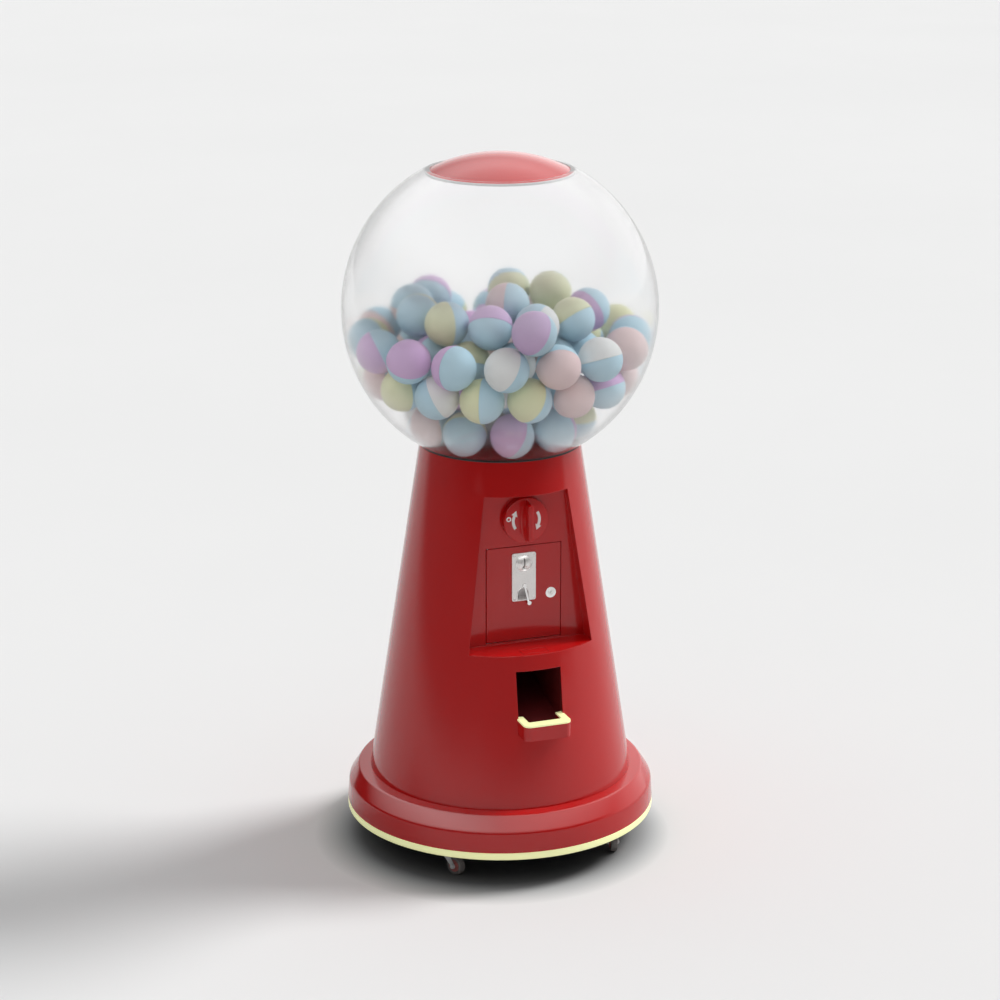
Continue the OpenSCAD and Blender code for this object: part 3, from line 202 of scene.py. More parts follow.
class Shading:
    """The nodes of one material or world, with a short call for each step that a finish takes."""

    def __init__(self, tree):
        self.nodes = tree.nodes
        self.links = tree.links

    def add(self, kind):
        """A new node of a kind."""
        return self.nodes.new(kind)

    def feed(self, value, socket):
        """Links a socket, or sets it to a number, a vector or a colour of three numbers."""
        if isinstance(value, bpy.types.NodeSocket):
            self.links.new(value, socket)
        elif socket.type == "RGBA":
            socket.default_value = (*value, 1.0)
        else:
            socket.default_value = value

    def place(self):
        """The object's own coordinates, in metres."""
        return self.add("ShaderNodeTexCoord").outputs["Object"]

    def split(self, vector):
        """The X, Y and Z of a vector."""
        parts = self.add("ShaderNodeSeparateXYZ")
        self.feed(vector, parts.inputs["Vector"])
        return parts.outputs

    def noise(self, grain, detail, stretch=(1, 1, 1)):
        """Noise over the object's own coordinates. Grain is in features per metre, detail in octaves."""
        mapping = self.add("ShaderNodeMapping")
        self.feed(stretch, mapping.inputs["Scale"])
        self.feed(self.place(), mapping.inputs["Vector"])
        noise = self.add("ShaderNodeTexNoise")
        self.feed(grain, noise.inputs["Scale"])
        self.feed(detail, noise.inputs["Detail"])
        self.feed(mapping.outputs["Vector"], noise.inputs["Vector"])
        return noise.outputs["Fac"]

    def remap(self, source, low, high, span=NOISE_SPAN):
        """Turns a value's span into the range from low to high, and holds the ends beyond it."""
        spread = self.add("ShaderNodeMapRange")
        self.feed(source, spread.inputs["Value"])
        self.feed(span[0], spread.inputs["From Min"])
        self.feed(span[1], spread.inputs["From Max"])
        self.feed(low, spread.inputs["To Min"])
        self.feed(high, spread.inputs["To Max"])
        return spread.outputs["Result"]

    def combine(self, operation, first, second):
        """Joins two values with one step of arithmetic."""
        step = self.add("ShaderNodeMath")
        step.operation = operation
        self.feed(first, step.inputs[0])
        self.feed(second, step.inputs[1])
        return step.outputs["Value"]

    def measure(self, operation, first, second):
        """One number from two vectors, such as their distance."""
        step = self.add("ShaderNodeVectorMath")
        step.operation = operation
        self.feed(first, step.inputs[0])
        self.feed(second, step.inputs[1])
        return step.outputs["Value"]

    def blend(self, factor, first, second):
        """Mixes two colours by a factor. A colour is three numbers or a socket."""
        mix = self.add("ShaderNodeMix")
        mix.data_type = "RGBA"
        self.feed(factor, mix.inputs["Factor"])
        self.feed(first, mix.inputs["A"])
        self.feed(second, mix.inputs["B"])
        return mix.outputs["Result"]

    def mix_shaders(self, factor, first, second):
        """Mixes two shaders, from the first at zero to the second at one."""
        mix = self.add("ShaderNodeMixShader")
        self.feed(factor, mix.inputs["Fac"])
        self.feed(first, mix.inputs[1])
        self.feed(second, mix.inputs[2])
        return mix.outputs["Shader"]

    def base_colour(self):
        """A finish's colour socket, and the socket that feeds it."""
        base = self.nodes["Principled BSDF"].inputs["Base Color"]
        return base, base.links[0].from_socket

    def mirrored_ray(self):
        """One where a ray comes from a glossy reflection, and zero where it came through the globe."""
        path = self.add("ShaderNodeLightPath").outputs
        return self.combine("GREATER_THAN", path["Is Glossy Ray"], path["Is Transmission Ray"])

    def edge_mask(self, radius):
        """Bright where a rounded edge turns away from the flat face, and the rounded normal itself."""
        bevel = self.add("ShaderNodeBevel")
        bevel.samples = EDGE_SAMPLES
        self.feed(radius, bevel.inputs["Radius"])
        rounded = bevel.outputs["Normal"]
        flat = self.add("ShaderNodeNewGeometry").outputs["Normal"]
        return self.remap(self.measure("DOT_PRODUCT", rounded, flat), 1, 0, EDGE_SPAN), rounded


def new_material(name):
    """A new material, its principled shader and its nodes."""
    material = bpy.data.materials.new(name)
    material.use_nodes = True
    return material, material.node_tree.nodes["Principled BSDF"], Shading(material.node_tree)


def tinted(colour, share):
    """A colour made darker or brighter by a share."""
    return tuple(min(1.0, share * part) for part in colour)


def finish(
    name, colour, shade, cloud, roughness, rough_grain=60.0, metallic=0.0, bump=0.0,
    bump_grain=400.0, bump_depth=0.0002, stretch=(1, 1, 1), edge_radius=0.0, edge_colour=None,
    edge_wear_and_shade=0.5, speckle=None, specular=0.5,
):
    """A procedural finish: clouded colour, uneven gloss, a fine surface and edges in a colour of their
    own, which is wear on most finishes and painted shade of the gap round the shelf hatch.
    """
    material, shader, tree = new_material(name)
    tone = tree.blend(tree.remap(tree.noise(cloud, 5), 0, 1), colour, shade)
    if speckle:
        speck_colour, speck_grain, speck_share = speckle
        specks = tree.remap(tree.noise(speck_grain, 2), 0, speck_share, SPECK_SPAN)
        tone = tree.blend(specks, tone, speck_colour)
    normal = None
    if edge_radius:
        mask, normal = tree.edge_mask(edge_radius)
        if edge_colour:
            broken = tree.remap(tree.noise(WEAR_AND_SHADE_GRAIN, 6), 0, edge_wear_and_shade, WEAR_AND_SHADE_SPAN)
            tone = tree.blend(tree.combine("MULTIPLY", mask, broken), tone, edge_colour)
    tree.feed(tone, shader.inputs["Base Color"])
    gloss = tree.noise(rough_grain, 6, stretch)
    tree.feed(tree.remap(gloss, roughness[0], roughness[1]), shader.inputs["Roughness"])
    if bump:
        relief = tree.add("ShaderNodeBump")
        tree.feed(bump, relief.inputs["Strength"])
        tree.feed(bump_depth, relief.inputs["Distance"])
        tree.feed(tree.noise(bump_grain, 3, stretch), relief.inputs["Height"])
        if normal:
            tree.feed(normal, relief.inputs["Normal"])
        normal = relief.outputs["Normal"]
    if normal:
        tree.feed(normal, shader.inputs["Normal"])
    tree.feed(metallic, shader.inputs["Metallic"])
    tree.feed(specular, shader.inputs["Specular IOR Level"])
    return material


def lacquer(name, edge_radius, edge_colour=(0.64, 0.03, 0.03), edge_wear_and_shade=0.25):
    """Glossy red lacquer with a faint orange peel."""
    colours = bpy.context.scene.machine_colours
    return finish(
        name, tuple(colours.lacquer), tuple(colours.lacquer_shade), cloud=2.2,
        roughness=(0.11, 0.14), rough_grain=60.0, bump=0.02, bump_grain=260.0, bump_depth=0.0002,
        edge_radius=edge_radius, edge_colour=edge_colour, edge_wear_and_shade=edge_wear_and_shade,
    )


def steel(name, colour=(0.62, 0.62, 0.63), stretch=(1, 1, 1), roughness=(0.25, 0.42)):
    """Plated steel with fine uneven gloss."""
    return finish(
        name, colour, tinted(colour, 0.82), cloud=40.0, roughness=roughness, rough_grain=300.0,
        metallic=1.0, bump=0.10, bump_grain=900.0, bump_depth=0.0001, stretch=stretch,
        edge_radius=bpy.context.scene.machine_sizes.metal_round,
        edge_colour=(0.85, 0.85, 0.85), edge_wear_and_shade=0.7,
    )


def plastic(name, colour, edge_radius=0.0005):
    """Moulded plastic with a fine matt grain."""
    return finish(
        name, colour, tinted(colour, 0.90), cloud=8.0, roughness=(0.35, 0.5), rough_grain=90.0,
        bump=0.08, bump_grain=900.0, bump_depth=0.0001, edge_radius=edge_radius,
    )


def glowing(name, strength):
    """Milky plastic lit from behind, a little uneven along its length, dark underneath."""
    colour = tuple(bpy.context.scene.machine_colours.glow)
    material, shader, tree = new_material(name)
    tone = tree.blend(tree.remap(tree.noise(14.0, 3), 0, 1), colour, tinted(colour, 1.05))
    rise = tree.split(tree.add("ShaderNodeNewGeometry").outputs["Normal"])["Z"]
    lit = tree.remap(rise, 0, 1, UNDERSIDE_SPAN)
    tree.feed(tree.blend(lit, (0.03, 0.03, 0.03), tone), shader.inputs["Base Color"])
    tree.feed(tone, shader.inputs["Emission Color"])
    tree.feed(tree.remap(lit, 0, strength, (0, 1)), shader.inputs["Emission Strength"])
    tree.feed(0.35, shader.inputs["Roughness"])
    return material


def clear_acrylic(name):
    """Clear acrylic that lets the lamps through to what it holds, with a few faint wipe marks."""
    material, shader, tree = new_material(name)
    smears = tree.noise(5.0, 6, stretch=(1, 1, 0.35))
    tree.feed(tree.remap(smears, 0.09, 0.13, SMEAR_SPAN), shader.inputs["Roughness"])
    tree.feed((1, 1, 1), shader.inputs["Base Color"])
    tree.feed(1.0, shader.inputs["Transmission Weight"])
    tree.feed(1.33, shader.inputs["IOR"])
    passing = tree.add("ShaderNodeBsdfTransparent")
    tree.feed((0.93, 0.95, 0.955), passing.inputs["Color"])
    shadow = tree.add("ShaderNodeLightPath").outputs["Is Shadow Ray"]
    surface = tree.mix_shaders(shadow, shader.outputs["BSDF"], passing.outputs["BSDF"])
    tree.feed(surface, tree.nodes["Material Output"].inputs["Surface"])
    return material


def paint_nodes(material, *names):
    """Gives CAD nodes a finish in their own material slots."""
    for name in names:
        piece = frame["nodes"][name]
        if not piece.data.materials:
            piece.data.materials.append(material)
        for index in range(len(piece.data.materials)):
            piece.data.materials[index] = material


# ---- Meshes ----


def soften(outline, cut, steps=3, closed=True):
    """Rounds an outline's corners. Cut is one distance, or one for each corner."""
    count = len(outline)
    cuts = cut if isinstance(cut, (list, tuple)) else [cut] * count
    rounded = []
    for index, corner in enumerate(outline):
        if not closed and index in (0, count - 1):
            rounded.append(tuple(corner))
            continue
        point = Vector(corner)
        before = Vector(outline[index - 1]) - point
        after = Vector(outline[(index + 1) % count]) - point
        reach = min(cuts[index], 0.45 * before.length, 0.45 * after.length)
        if reach < 1e-6:
            rounded.append(tuple(corner))
            continue
        start = point + before.normalized() * reach
        end = point + after.normalized() * reach
        for step in range(steps + 1):
            share = step / steps
            rounded.append(tuple(
                start * (1 - share) ** 2 + point * 2 * share * (1 - share) + end * share ** 2
            ))
    return rounded


class Form:
    """Points and faces gathered for one piece, in metres."""

    def __init__(self):
        self.points = []
        self.faces = []

    def add(self, points, faces, place=None):
        first = len(self.points)
        matrix = place or Matrix()
        self.points.extend(matrix @ Vector(point) for point in points)
        self.faces.extend([first + index for index in face] for face in faces)

    def turn(self, profile, segments, place=None, closed=True):
        """Turns a profile of radius and height round the upright axis."""
        points, faces, rings = [], [], []
        for radius, height in profile:
            if radius < 1e-6:
                rings.append([len(points)] * segments)
                points.append((0, 0, height))
                continue
            rings.append(list(range(len(points), len(points) + segments)))
            for step in range(segments):
                angle = 2 * math.pi * step / segments
                points.append((radius * math.cos(angle), radius * math.sin(angle), height))
        count = len(rings)
        for index in range(count if closed else count - 1):
            low, high = rings[index], rings[(index + 1) % count]
            for step in range(segments):
                after = (step + 1) % segments
                corners = [low[step], low[after], high[after], high[step]]
                face = list(dict.fromkeys(corners))
                if len(face) > 2:
                    faces.append(face)
        self.add(points, faces, place)

    def stack(self, outlines, place=None):
        """Joins outlines of equal length, one above the next, and closes both ends."""
        points, faces = [], []
        count = len(outlines[0])
        for outline in outlines:
            points.extend(outline)
        for level in range(len(outlines) - 1):
            for step in range(count):
                after = (step + 1) % count
                faces.append([
                    level * count + step, level * count + after,
                    (level + 1) * count + after, (level + 1) * count + step,
                ])
        faces.append(list(range(count))[::-1])
        faces.append([(len(outlines) - 1) * count + step for step in range(count)])
        self.add(points, faces, place)

    def stack_ring(self, outlines, place=None):
        """Joins open outlines into a strip that closes on itself, with both ends closed."""
        points = [point for outline in outlines for point in outline]
        count = len(outlines[0])
        rows = len(outlines)
        faces = []
        for row in range(rows):
            after = (row + 1) % rows
            for step in range(count - 1):
                faces.append([
                    row * count + step, row * count + step + 1,
                    after * count + step + 1, after * count + step,
                ])
        faces.append([row * count for row in range(rows)])
        faces.append([row * count + count - 1 for row in range(rows)][::-1])
        self.add(points, faces, place)

    def mesh(self, name, material):
        """A mesh of what was gathered, with its faces turned outwards and one material."""
        mesh = bpy.data.meshes.new(name)
        mesh.from_pydata([tuple(point) for point in self.points], [], self.faces)
        mesh.validate()
        shape = bmesh.new()
        shape.from_mesh(mesh)
        bmesh.ops.recalc_face_normals(shape, faces=shape.faces)
        shape.to_mesh(mesh)
        shape.free()
        mesh.materials.append(material)
        return mesh


def turned(profile, segments, place=None, closed=True):
    """A form of one turned profile."""
    form = Form()
    form.turn(profile, segments, place, closed)
    return form


def make_piece(name, form, body, material, stands_for=(), sharp=35.0):
    """Makes a gathered form into a piece that rides on a body."""
    mesh = form.mesh(name, material)
    mesh.polygons.foreach_set("use_smooth", [True] * len(mesh.polygons))
    mesh.set_sharp_from_angle(angle=math.radians(sharp))
    shell = bpy.data.objects.new(name, mesh)
    bpy.context.scene.collection.objects.link(shell)
    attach(shell, body)
    if stands_for:
        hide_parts(*stands_for)


def arc(radius, start, end, steps, centre=(0.0, 0.0)):
    """Points of an arc, angles in degrees from the radius axis."""
    points = []
    for step in range(steps + 1):
        angle = math.radians(start + (end - start) * step / steps)
        points.append((centre[0] + radius * math.cos(angle), centre[1] + radius * math.sin(angle)))
    return points


def front_place(x, y, z):
    """Stands a turned form on its side, so that its axis points to the front."""
    return Matrix.Translation((x, y, z)) @ FRONT


def axis_place(centre, axis):
    """Stands a turned form at a centre, along an axis."""
    return Matrix.Translation(centre) @ Vector(axis).to_track_quat("Z", "Y").to_matrix().to_4x4()


# ---- Pieces ----


class CAPMACHINE_OT_stage(bpy.types.Operator):
    """Makes the camera, the lamps, the sky and the floor"""

    bl_idname = "capmachine.stage"
    bl_label = "Stage"

    def execute(self, context):
        studio = context.scene.machine_studio
        self.make_camera(context, studio)
        self.make_sun(context, studio)
        self.make_sky(context, studio)
        self.make_floor(context)
        return {"FINISHED"}

    def make_camera(self, context, studio):
        """The camera, and the view that shows colours as they are written."""
        lens = bpy.data.cameras.new("Camera")
        lens.lens = studio.lens
        lens.sensor_width = 36
        camera = bpy.data.objects.new("Camera", lens)
        camera.location = studio.camera_place
        camera.rotation_euler = (math.radians(90) - studio.camera_tilt, 0, studio.camera_turn)
        context.scene.collection.objects.link(camera)
        context.scene.camera = camera
        context.scene.view_settings.view_transform = "Standard"

    def make_sun(self, context, studio):
        """One broad key lamp, which gloss and the globe don't show."""
        lamp = bpy.data.lights.new("Key lamp", "SUN")
        lamp.energy = studio.sun_strength
        lamp.angle = studio.sun_size
        lamp.color = (1.0, 0.997, 0.993)
        sun = bpy.data.objects.new("Key lamp", lamp)
        across = math.cos(studio.sun_height)
        towards = Vector((
            across * math.cos(studio.sun_bearing), across * math.sin(studio.sun_bearing),
            math.sin(studio.sun_height),
        ))
        sun.rotation_mode = "QUATERNION"
        sun.rotation_quaternion = towards.to_track_quat("Z", "Y")
        sun.location = towards * 5
        sun.visible_glossy = False
        sun.visible_transmission = False
        context.scene.collection.objects.link(sun)

    def make_sky(self, context, studio):
        """Soft light from above, a pale backdrop, and what gloss mirrors."""
        overhead = (0.45, 1)
        world = context.scene.world or bpy.data.worlds.new("Studio")
        context.scene.world = world
        world.use_nodes = True
        tree = Shading(world.node_tree)
        tree.nodes.clear()
        direction = tree.add("ShaderNodeTexCoord").outputs["Generated"]
        parts = tree.split(direction)
        soft_light = tree.remap(parts["Z"], studio.sky_low, studio.sky_high, overhead)
        lit = self.background(tree, (0.995, 1.0, 1.0), soft_light)
        seen = self.background(tree, (1, 1, 1), studio.backdrop)
        mirrored = self.background(tree, (1, 1, 1), self.mirror_glow(tree, direction, parts, studio))
        path = tree.add("ShaderNodeLightPath").outputs
        straight = tree.combine("MAXIMUM", path["Is Camera Ray"], path["Is Transmission Ray"])
        shown = tree.mix_shaders(straight, lit, seen)
        surface = tree.mix_shaders(tree.mirrored_ray(), shown, mirrored)
        tree.feed(surface, tree.add("ShaderNodeOutputWorld").inputs["Surface"])

    def background(self, tree, colour, strength):
        """Light from the sky, of one colour."""
        light = tree.add("ShaderNodeBackground")
        tree.feed(colour, light.inputs["Color"])
        tree.feed(strength, light.inputs["Strength"])
        return light.outputs["Background"]

    def mirror_glow(self, tree, direction, parts, studio):
        """What gloss mirrors: bright above, most of all on the left, and paler on the right."""
        above = tree.remap(parts["Z"], 0, 1, (0.20, 0.65))
        front = tree.remap(parts["Y"], 1.05, 1, (-0.60, 0.10))
        left = tree.remap(parts["X"], 1.7, 1, (-0.75, -0.25))
        ceiling = tree.combine("MULTIPLY", tree.combine("MULTIPLY", above, front), left)
        towards_right = tree.measure("DOT_PRODUCT", direction, (0.85, 0.52, 0.0))
        side = tree.remap(towards_right, 0, 0.62, (0.30, 0.85))
        full = 2.2
        glow = tree.combine("MAXIMUM", ceiling, side)
        return tree.remap(glow, studio.mirror_low, full * studio.mirror_high, (0, full))

    def make_floor(self, context):
        """A wide pale disc."""
        radius = 60
        depth = 0.05
        form = turned([(0, 0), (radius, 0), (radius, -depth), (0, -depth)], 64)
        material = finish(
            "Pale floor", (0.815, 0.815, 0.815), (0.80, 0.80, 0.80), cloud=0.4,
            roughness=(0.85, 0.95), rough_grain=3.0, specular=0.1,
        )
        self.paint_contact_shadow(material)
        self.dim_mirrored_front(material)
        floor = bpy.data.objects.new("floor", form.mesh("floor", material))
        context.scene.collection.objects.link(floor)

    def paint_contact_shadow(self, material):
        """Painted shadow: the floor's colour is darker under the machine, standing in for the shade
        beneath it.
        """
        middle = (-0.03, -0.02, 0)
        fade = (0.34, 0.47)
        tree = Shading(material.node_tree)
        reach = tree.measure("DISTANCE", tree.place(), middle)
        outside = tree.remap(reach, 0, 1, fade)
        base, tone = tree.base_colour()
        # The grey mixed in close to the machine is painted shadow.
        tree.feed(tree.blend(outside, (0.22, 0.22, 0.22), tone), base)

    def dim_mirrored_front(self, material):
        """Gloss mirrors a darker floor in front of the machine and to its left, as in a dim room."""
        front_fade = (-2.2, -4.2)
        left_fade = (2.6, 4.6)
        left_way = (-0.94, -0.34, 0)
        tree = Shading(material.node_tree)
        place = tree.place()
        front = tree.remap(tree.split(place)["Y"], 0, 1, front_fade)
        left = tree.remap(tree.measure("DOT_PRODUCT", place, left_way), 0, 1, left_fade)
        dim = tree.combine("MAXIMUM", front, left)
        mirrored = tree.combine("MULTIPLY", dim, tree.mirrored_ray())
        dark = tree.add("ShaderNodeBsdfDiffuse")
        tree.feed((0.24, 0.24, 0.24), dark.inputs["Color"])
        plain = tree.nodes["Principled BSDF"].outputs["BSDF"]
        surface = tree.mix_shaders(mirrored, plain, dark.outputs["BSDF"])
        tree.feed(surface, tree.nodes["Material Output"].inputs["Surface"])


class CAPMACHINE_OT_housing(bpy.types.Operator):
    """Lacquers the housing and its recess, and makes the base flange"""

    bl_idname = "capmachine.housing"
    bl_label = "Housing"

    def execute(self, context):
        sizes = context.scene.machine_sizes
        red = lacquer("Red lacquer", sizes.painted_round)
        paint_nodes(red, "cone_housing", "recess_liner")
        # The shelf hatch's edges are painted near-black: painted shade of the thin gap round the hatch.
        paint_nodes(lacquer("Hatch lacquer", 0.003, (0.01, 0.001, 0.001), 1.0), "shelf_hatch")
        self.make_flange(sizes.flange_round, red)
        return {"FINISHED"}

    def make_flange(self, edge, red):
        """A leaning side, a bevel and a flat ledge that the cone stands on, all of one sheet."""
        cone_foot = 0.3415
        ledge = 0.0130
        wall = 0.005
        foot_width = 0.022
        lean = 0.0035
        side_height = 0.053
        bevel_width = 0.026
        low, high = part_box("base_flange")
        outer = high.x
        shoulder = outer - lean
        ridge = shoulder - bevel_width
        bevel_z = low.z + side_height
        outline = [
            (outer - foot_width, low.z), (outer, low.z), (shoulder, bevel_z), (ridge, high.z),
            (cone_foot - ledge, high.z), (cone_foot - ledge, high.z - wall),
            (ridge - wall / 2, high.z - wall), (shoulder - wall, bevel_z - wall / 2),
            (outer - wall, low.z + wall), (outer - foot_width, low.z + wall),
        ]
        cuts = [0, edge / 2, edge * 1.5, edge, 0, 0, 0, 0, 0, 0]
        form = turned(soften(outline, cuts, steps=4), 192)
        make_piece("flange_rim", form, "machine", red, ("base_flange",))


class CAPMACHINE_OT_base(bpy.types.Operator):
    """Makes the light band and finishes the base plate and its fixings"""

    bl_idname = "capmachine.base"
    bl_label = "Base"

    def execute(self, context):
        band = 0.01395
        low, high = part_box("base_light")
        outline = [
            (high.x - band, low.z), (high.x, low.z), (high.x, high.z), (high.x - band, high.z)
        ]
        form = turned(soften(outline, [0, 0.003, 0.001, 0]), 192)
        make_piece("light_band", form, "machine", glowing("Light band glow", 0.34), ("base_light",))
        sheet = finish(
            "Base plate coat", (0.030, 0.030, 0.032), (0.022, 0.022, 0.024), cloud=20.0,
            roughness=(0.45, 0.6), rough_grain=200.0, bump=0.2, bump_grain=700.0, bump_depth=0.0002,
            edge_radius=0.0008, edge_colour=(0.12, 0.12, 0.12),
        )
        paint_nodes(sheet, "base_plate")
        paint_nodes(steel("Zinc plate"), "caster_plates", "caster_bolts", "housing_screws")
        return {"FINISHED"}


class CAPMACHINE_OT_globe(bpy.types.Operator):
    """Makes the clear globe, its two seals and the lid"""

    bl_idname = "capmachine.globe"
    bl_label = "Globe and lid"

    def execute(self, context):
        neck = 0.2075
        wall = 0.005
        low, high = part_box("globe")
        radius = high.x
        centre_z = low.z + math.sqrt(radius ** 2 - neck ** 2)
        segments = context.scene.machine_sizes.globe_segments
        self.make_shell(radius, wall, low.z - centre_z, high.z - centre_z, centre_z, segments)
        self.make_seals(centre_z, radius - wall, neck)
        self.make_lid(centre_z)
        return {"FINISHED"}

    def make_shell(self, radius, wall, foot, top, centre_z, segments):
        """The globe's outside and inside, cut off level at its neck and at its opening."""
        inner = radius - wall
        profile = []
        for reach, heights in ((radius, (foot, top)), (inner, (top, foot))):
            start, end = (math.degrees(math.asin(height / reach)) for height in heights)
            profile += arc(reach, start, end, 90, (0, centre_z))
        form = turned(soften(profile, 0.0006, steps=1), segments)
        material = clear_acrylic("Clear acrylic")
        make_piece("globe_shell", form, "machine", material, ("globe",), sharp=60)

    def make_seals(self, centre_z, inner, neck):
        """The dark ring under the globe's neck and the clear ring that carries the lid."""
        rubber = finish(
            "Neck seal rubber", (0.05, 0.045, 0.045), (0.03, 0.03, 0.03), cloud=30.0,
            roughness=(0.6, 0.8), rough_grain=200.0, bump=0.2, bump_grain=900.0, bump_depth=0.0002,
        )
        silicone = finish(
            "Lid seal silicone", (0.80, 0.79, 0.79), (0.74, 0.73, 0.73), cloud=30.0,
            roughness=(0.35, 0.5), rough_grain=200.0, bump=0.1, bump_grain=900.0, bump_depth=0.0002,
        )
        low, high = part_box("globe_seals")
        thickness = 0.0035
        neck_top = low.z + thickness
        reach = math.sqrt(inner ** 2 - (neck_top - centre_z) ** 2)
        outline = [(reach, low.z), (neck, low.z), (neck, neck_top), (reach, neck_top)]
        form = turned(soften(outline, 0.0006), 160)
        make_piece("neck_seal", form, "machine", rubber, ("globe_seals",))
        seat = 0.176
        depth = 0.006
        foot = high.z - depth
        outer = math.sqrt(inner ** 2 - (high.z - centre_z) ** 2)
        outline = [(seat, foot), (outer, foot), (outer, high.z), (seat, high.z)]
        form = turned(soften(outline, 0.0008), 160)
        make_piece("lid_seal", form, "machine", silicone)

    def make_lid(self, centre_z):
        """A shallow dome over the globe's opening, with a skirt that drops into it."""
        dome = 0.394
        rim = 0.184
        skirt = 0.175
        wall = 0.004
        lift = 0.00015
        rim_z = centre_z + math.sqrt(dome ** 2 - rim ** 2) + lift
        rim_angle = math.degrees(math.acos(rim / dome))
        inner = dome - wall
        skirt_angle = math.degrees(math.acos((skirt - wall) / inner))
        skirt_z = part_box("lid")[0].z
        profile = [(0, centre_z + dome)] + arc(dome, 90, rim_angle, 40, (0, centre_z))[1:]
        profile[-1] = (rim, rim_z)
        at_rim = len(profile) - 1
        profile += [(skirt, rim_z), (skirt, skirt_z), (skirt - wall, skirt_z)]
        profile += arc(inner, skirt_angle, 90, 24, (0, centre_z))[:-1]
        profile += [(0, centre_z + inner)]
        cuts = [0.0] * len(profile)
        cuts[at_rim] = 0.0012
        cuts[at_rim + 2] = 0.001
        cuts[at_rim + 3] = 0.001
        form = turned(soften(profile, cuts, closed=False), 160, closed=False)
        make_piece("lid_dome", form, "lid", lacquer("Lid lacquer", 0.0008), ("lid",))


class CAPMACHINE_OT_capsules(bpy.types.Operator):
    """Makes the two-tone capsules where the CAD half shells lie"""

    bl_idname = "capmachine.capsules"
    bl_label = "Capsules"

    def execute(self, context):
        colours = context.scene.machine_colours
        band = context.scene.machine_sizes.seam_band
        self.make_halves("blue", tuple(colours.blue), 0.0)
        for tint in TINTS:
            self.make_halves(tint, tuple(getattr(colours, tint)), band)
        return {"FINISHED"}

    def make_halves(self, tint, colour, band):
        """One piece for all half shells of one colour. A band overlaps the other half's rim."""
        node = "capsules_" + tint
        form = Form()
        profile = self.profile(band)
        for centre, axis in self.shells(frame["nodes"][node].data):
            form.turn(profile, 48, axis_place(centre, axis), closed=False)
        material = finish(
            "Capsule " + tint, colour, tinted(colour, 0.93), cloud=12.0, roughness=(0.42, 0.55),
            rough_grain=40.0, bump=0.06, bump_grain=500.0, bump_depth=0.0003,
        )
        self.paint_light_by_height(material)
        make_piece("capsule_halves_" + tint, form, "machine", material, (node,))

    def paint_light_by_height(self, material):
        """Painted light and shade: low capsules are painted paler, standing in for the light that the
        pile's own shade keeps from them, and the top ones a little greyer, as painted shade.
        """
        painted_light_colour = (0.97, 0.95, 0.96)
        painted_shade_colour = (0.40, 0.41, 0.44)
        tree = Shading(material.node_tree)
        height = tree.split(tree.place())["Z"]
        # Paler towards the bottom and greyer towards the top: painted light and shade, not a colour of
        # the capsules.
        painted_light = tree.remap(height, 0.30, 0.0, (1.10, 1.40))
        painted_shade = tree.remap(height, 0.0, 0.50, (1.28, 1.46))
        base, tone = tree.base_colour()
        paled = tree.blend(painted_light, tone, painted_light_colour)
        tree.feed(tree.blend(painted_shade, paled, painted_shade_colour), base)

    def profile(self, band):
        """A hollow half shell's outline, from its pole to its rim and back inside."""
        outer = 0.055
        wall = 0.0025
        if band:
            proud = 0.0003
            slope = 0.0005
            rim = [
                (math.sqrt(outer ** 2 - band ** 2), band), (outer + proud, band - slope),
                (outer + proud, 0.0004), (outer, 0.0),
            ]
            first = math.degrees(math.asin(band / outer)) + 2
        else:
            rim = [(outer - 0.0001, 0.0008), (outer - 0.0008, 0.0)]
            first = 2.0
        outside = [(0, outer)] + arc(outer, 90, first, 14)[1:]
        inside = [(outer - wall, 0.0)] + arc(outer - wall, 8, 90, 8)[:-1] + [(0, outer - wall)]
        return outside + rim + inside

    def shells(self, mesh):
        """Centre and pole direction of each half shell, read from its flat rim."""
        count = len(mesh.vertices)
        places = np.zeros(count * 3)
        mesh.vertices.foreach_get("co", places)
        places = places.reshape(-1, 3)
        leader = list(range(count))

        def lead(index):
            while leader[index] != index:
                leader[index] = leader[leader[index]]
                index = leader[index]
            return index

        for edge in mesh.edges:
            first, second = lead(edge.vertices[0]), lead(edge.vertices[1])
            leader[second] = first
        islands = {}
        for face in mesh.polygons:
            islands.setdefault(lead(face.vertices[0]), []).append(face)
        found = []
        for faces in islands.values():
            normals = np.array([tuple(face.normal) for face in faces])
            if np.abs(normals @ normals[0]).min() < 0.9999:
                continue
            rim = sorted({index for face in faces for index in face.vertices})
            found.append((Vector(places[rim].mean(0)), -Vector(normals.mean(0))))
        if not found:
            raise RuntimeError("no flat rims found on the capsule halves")
        return found


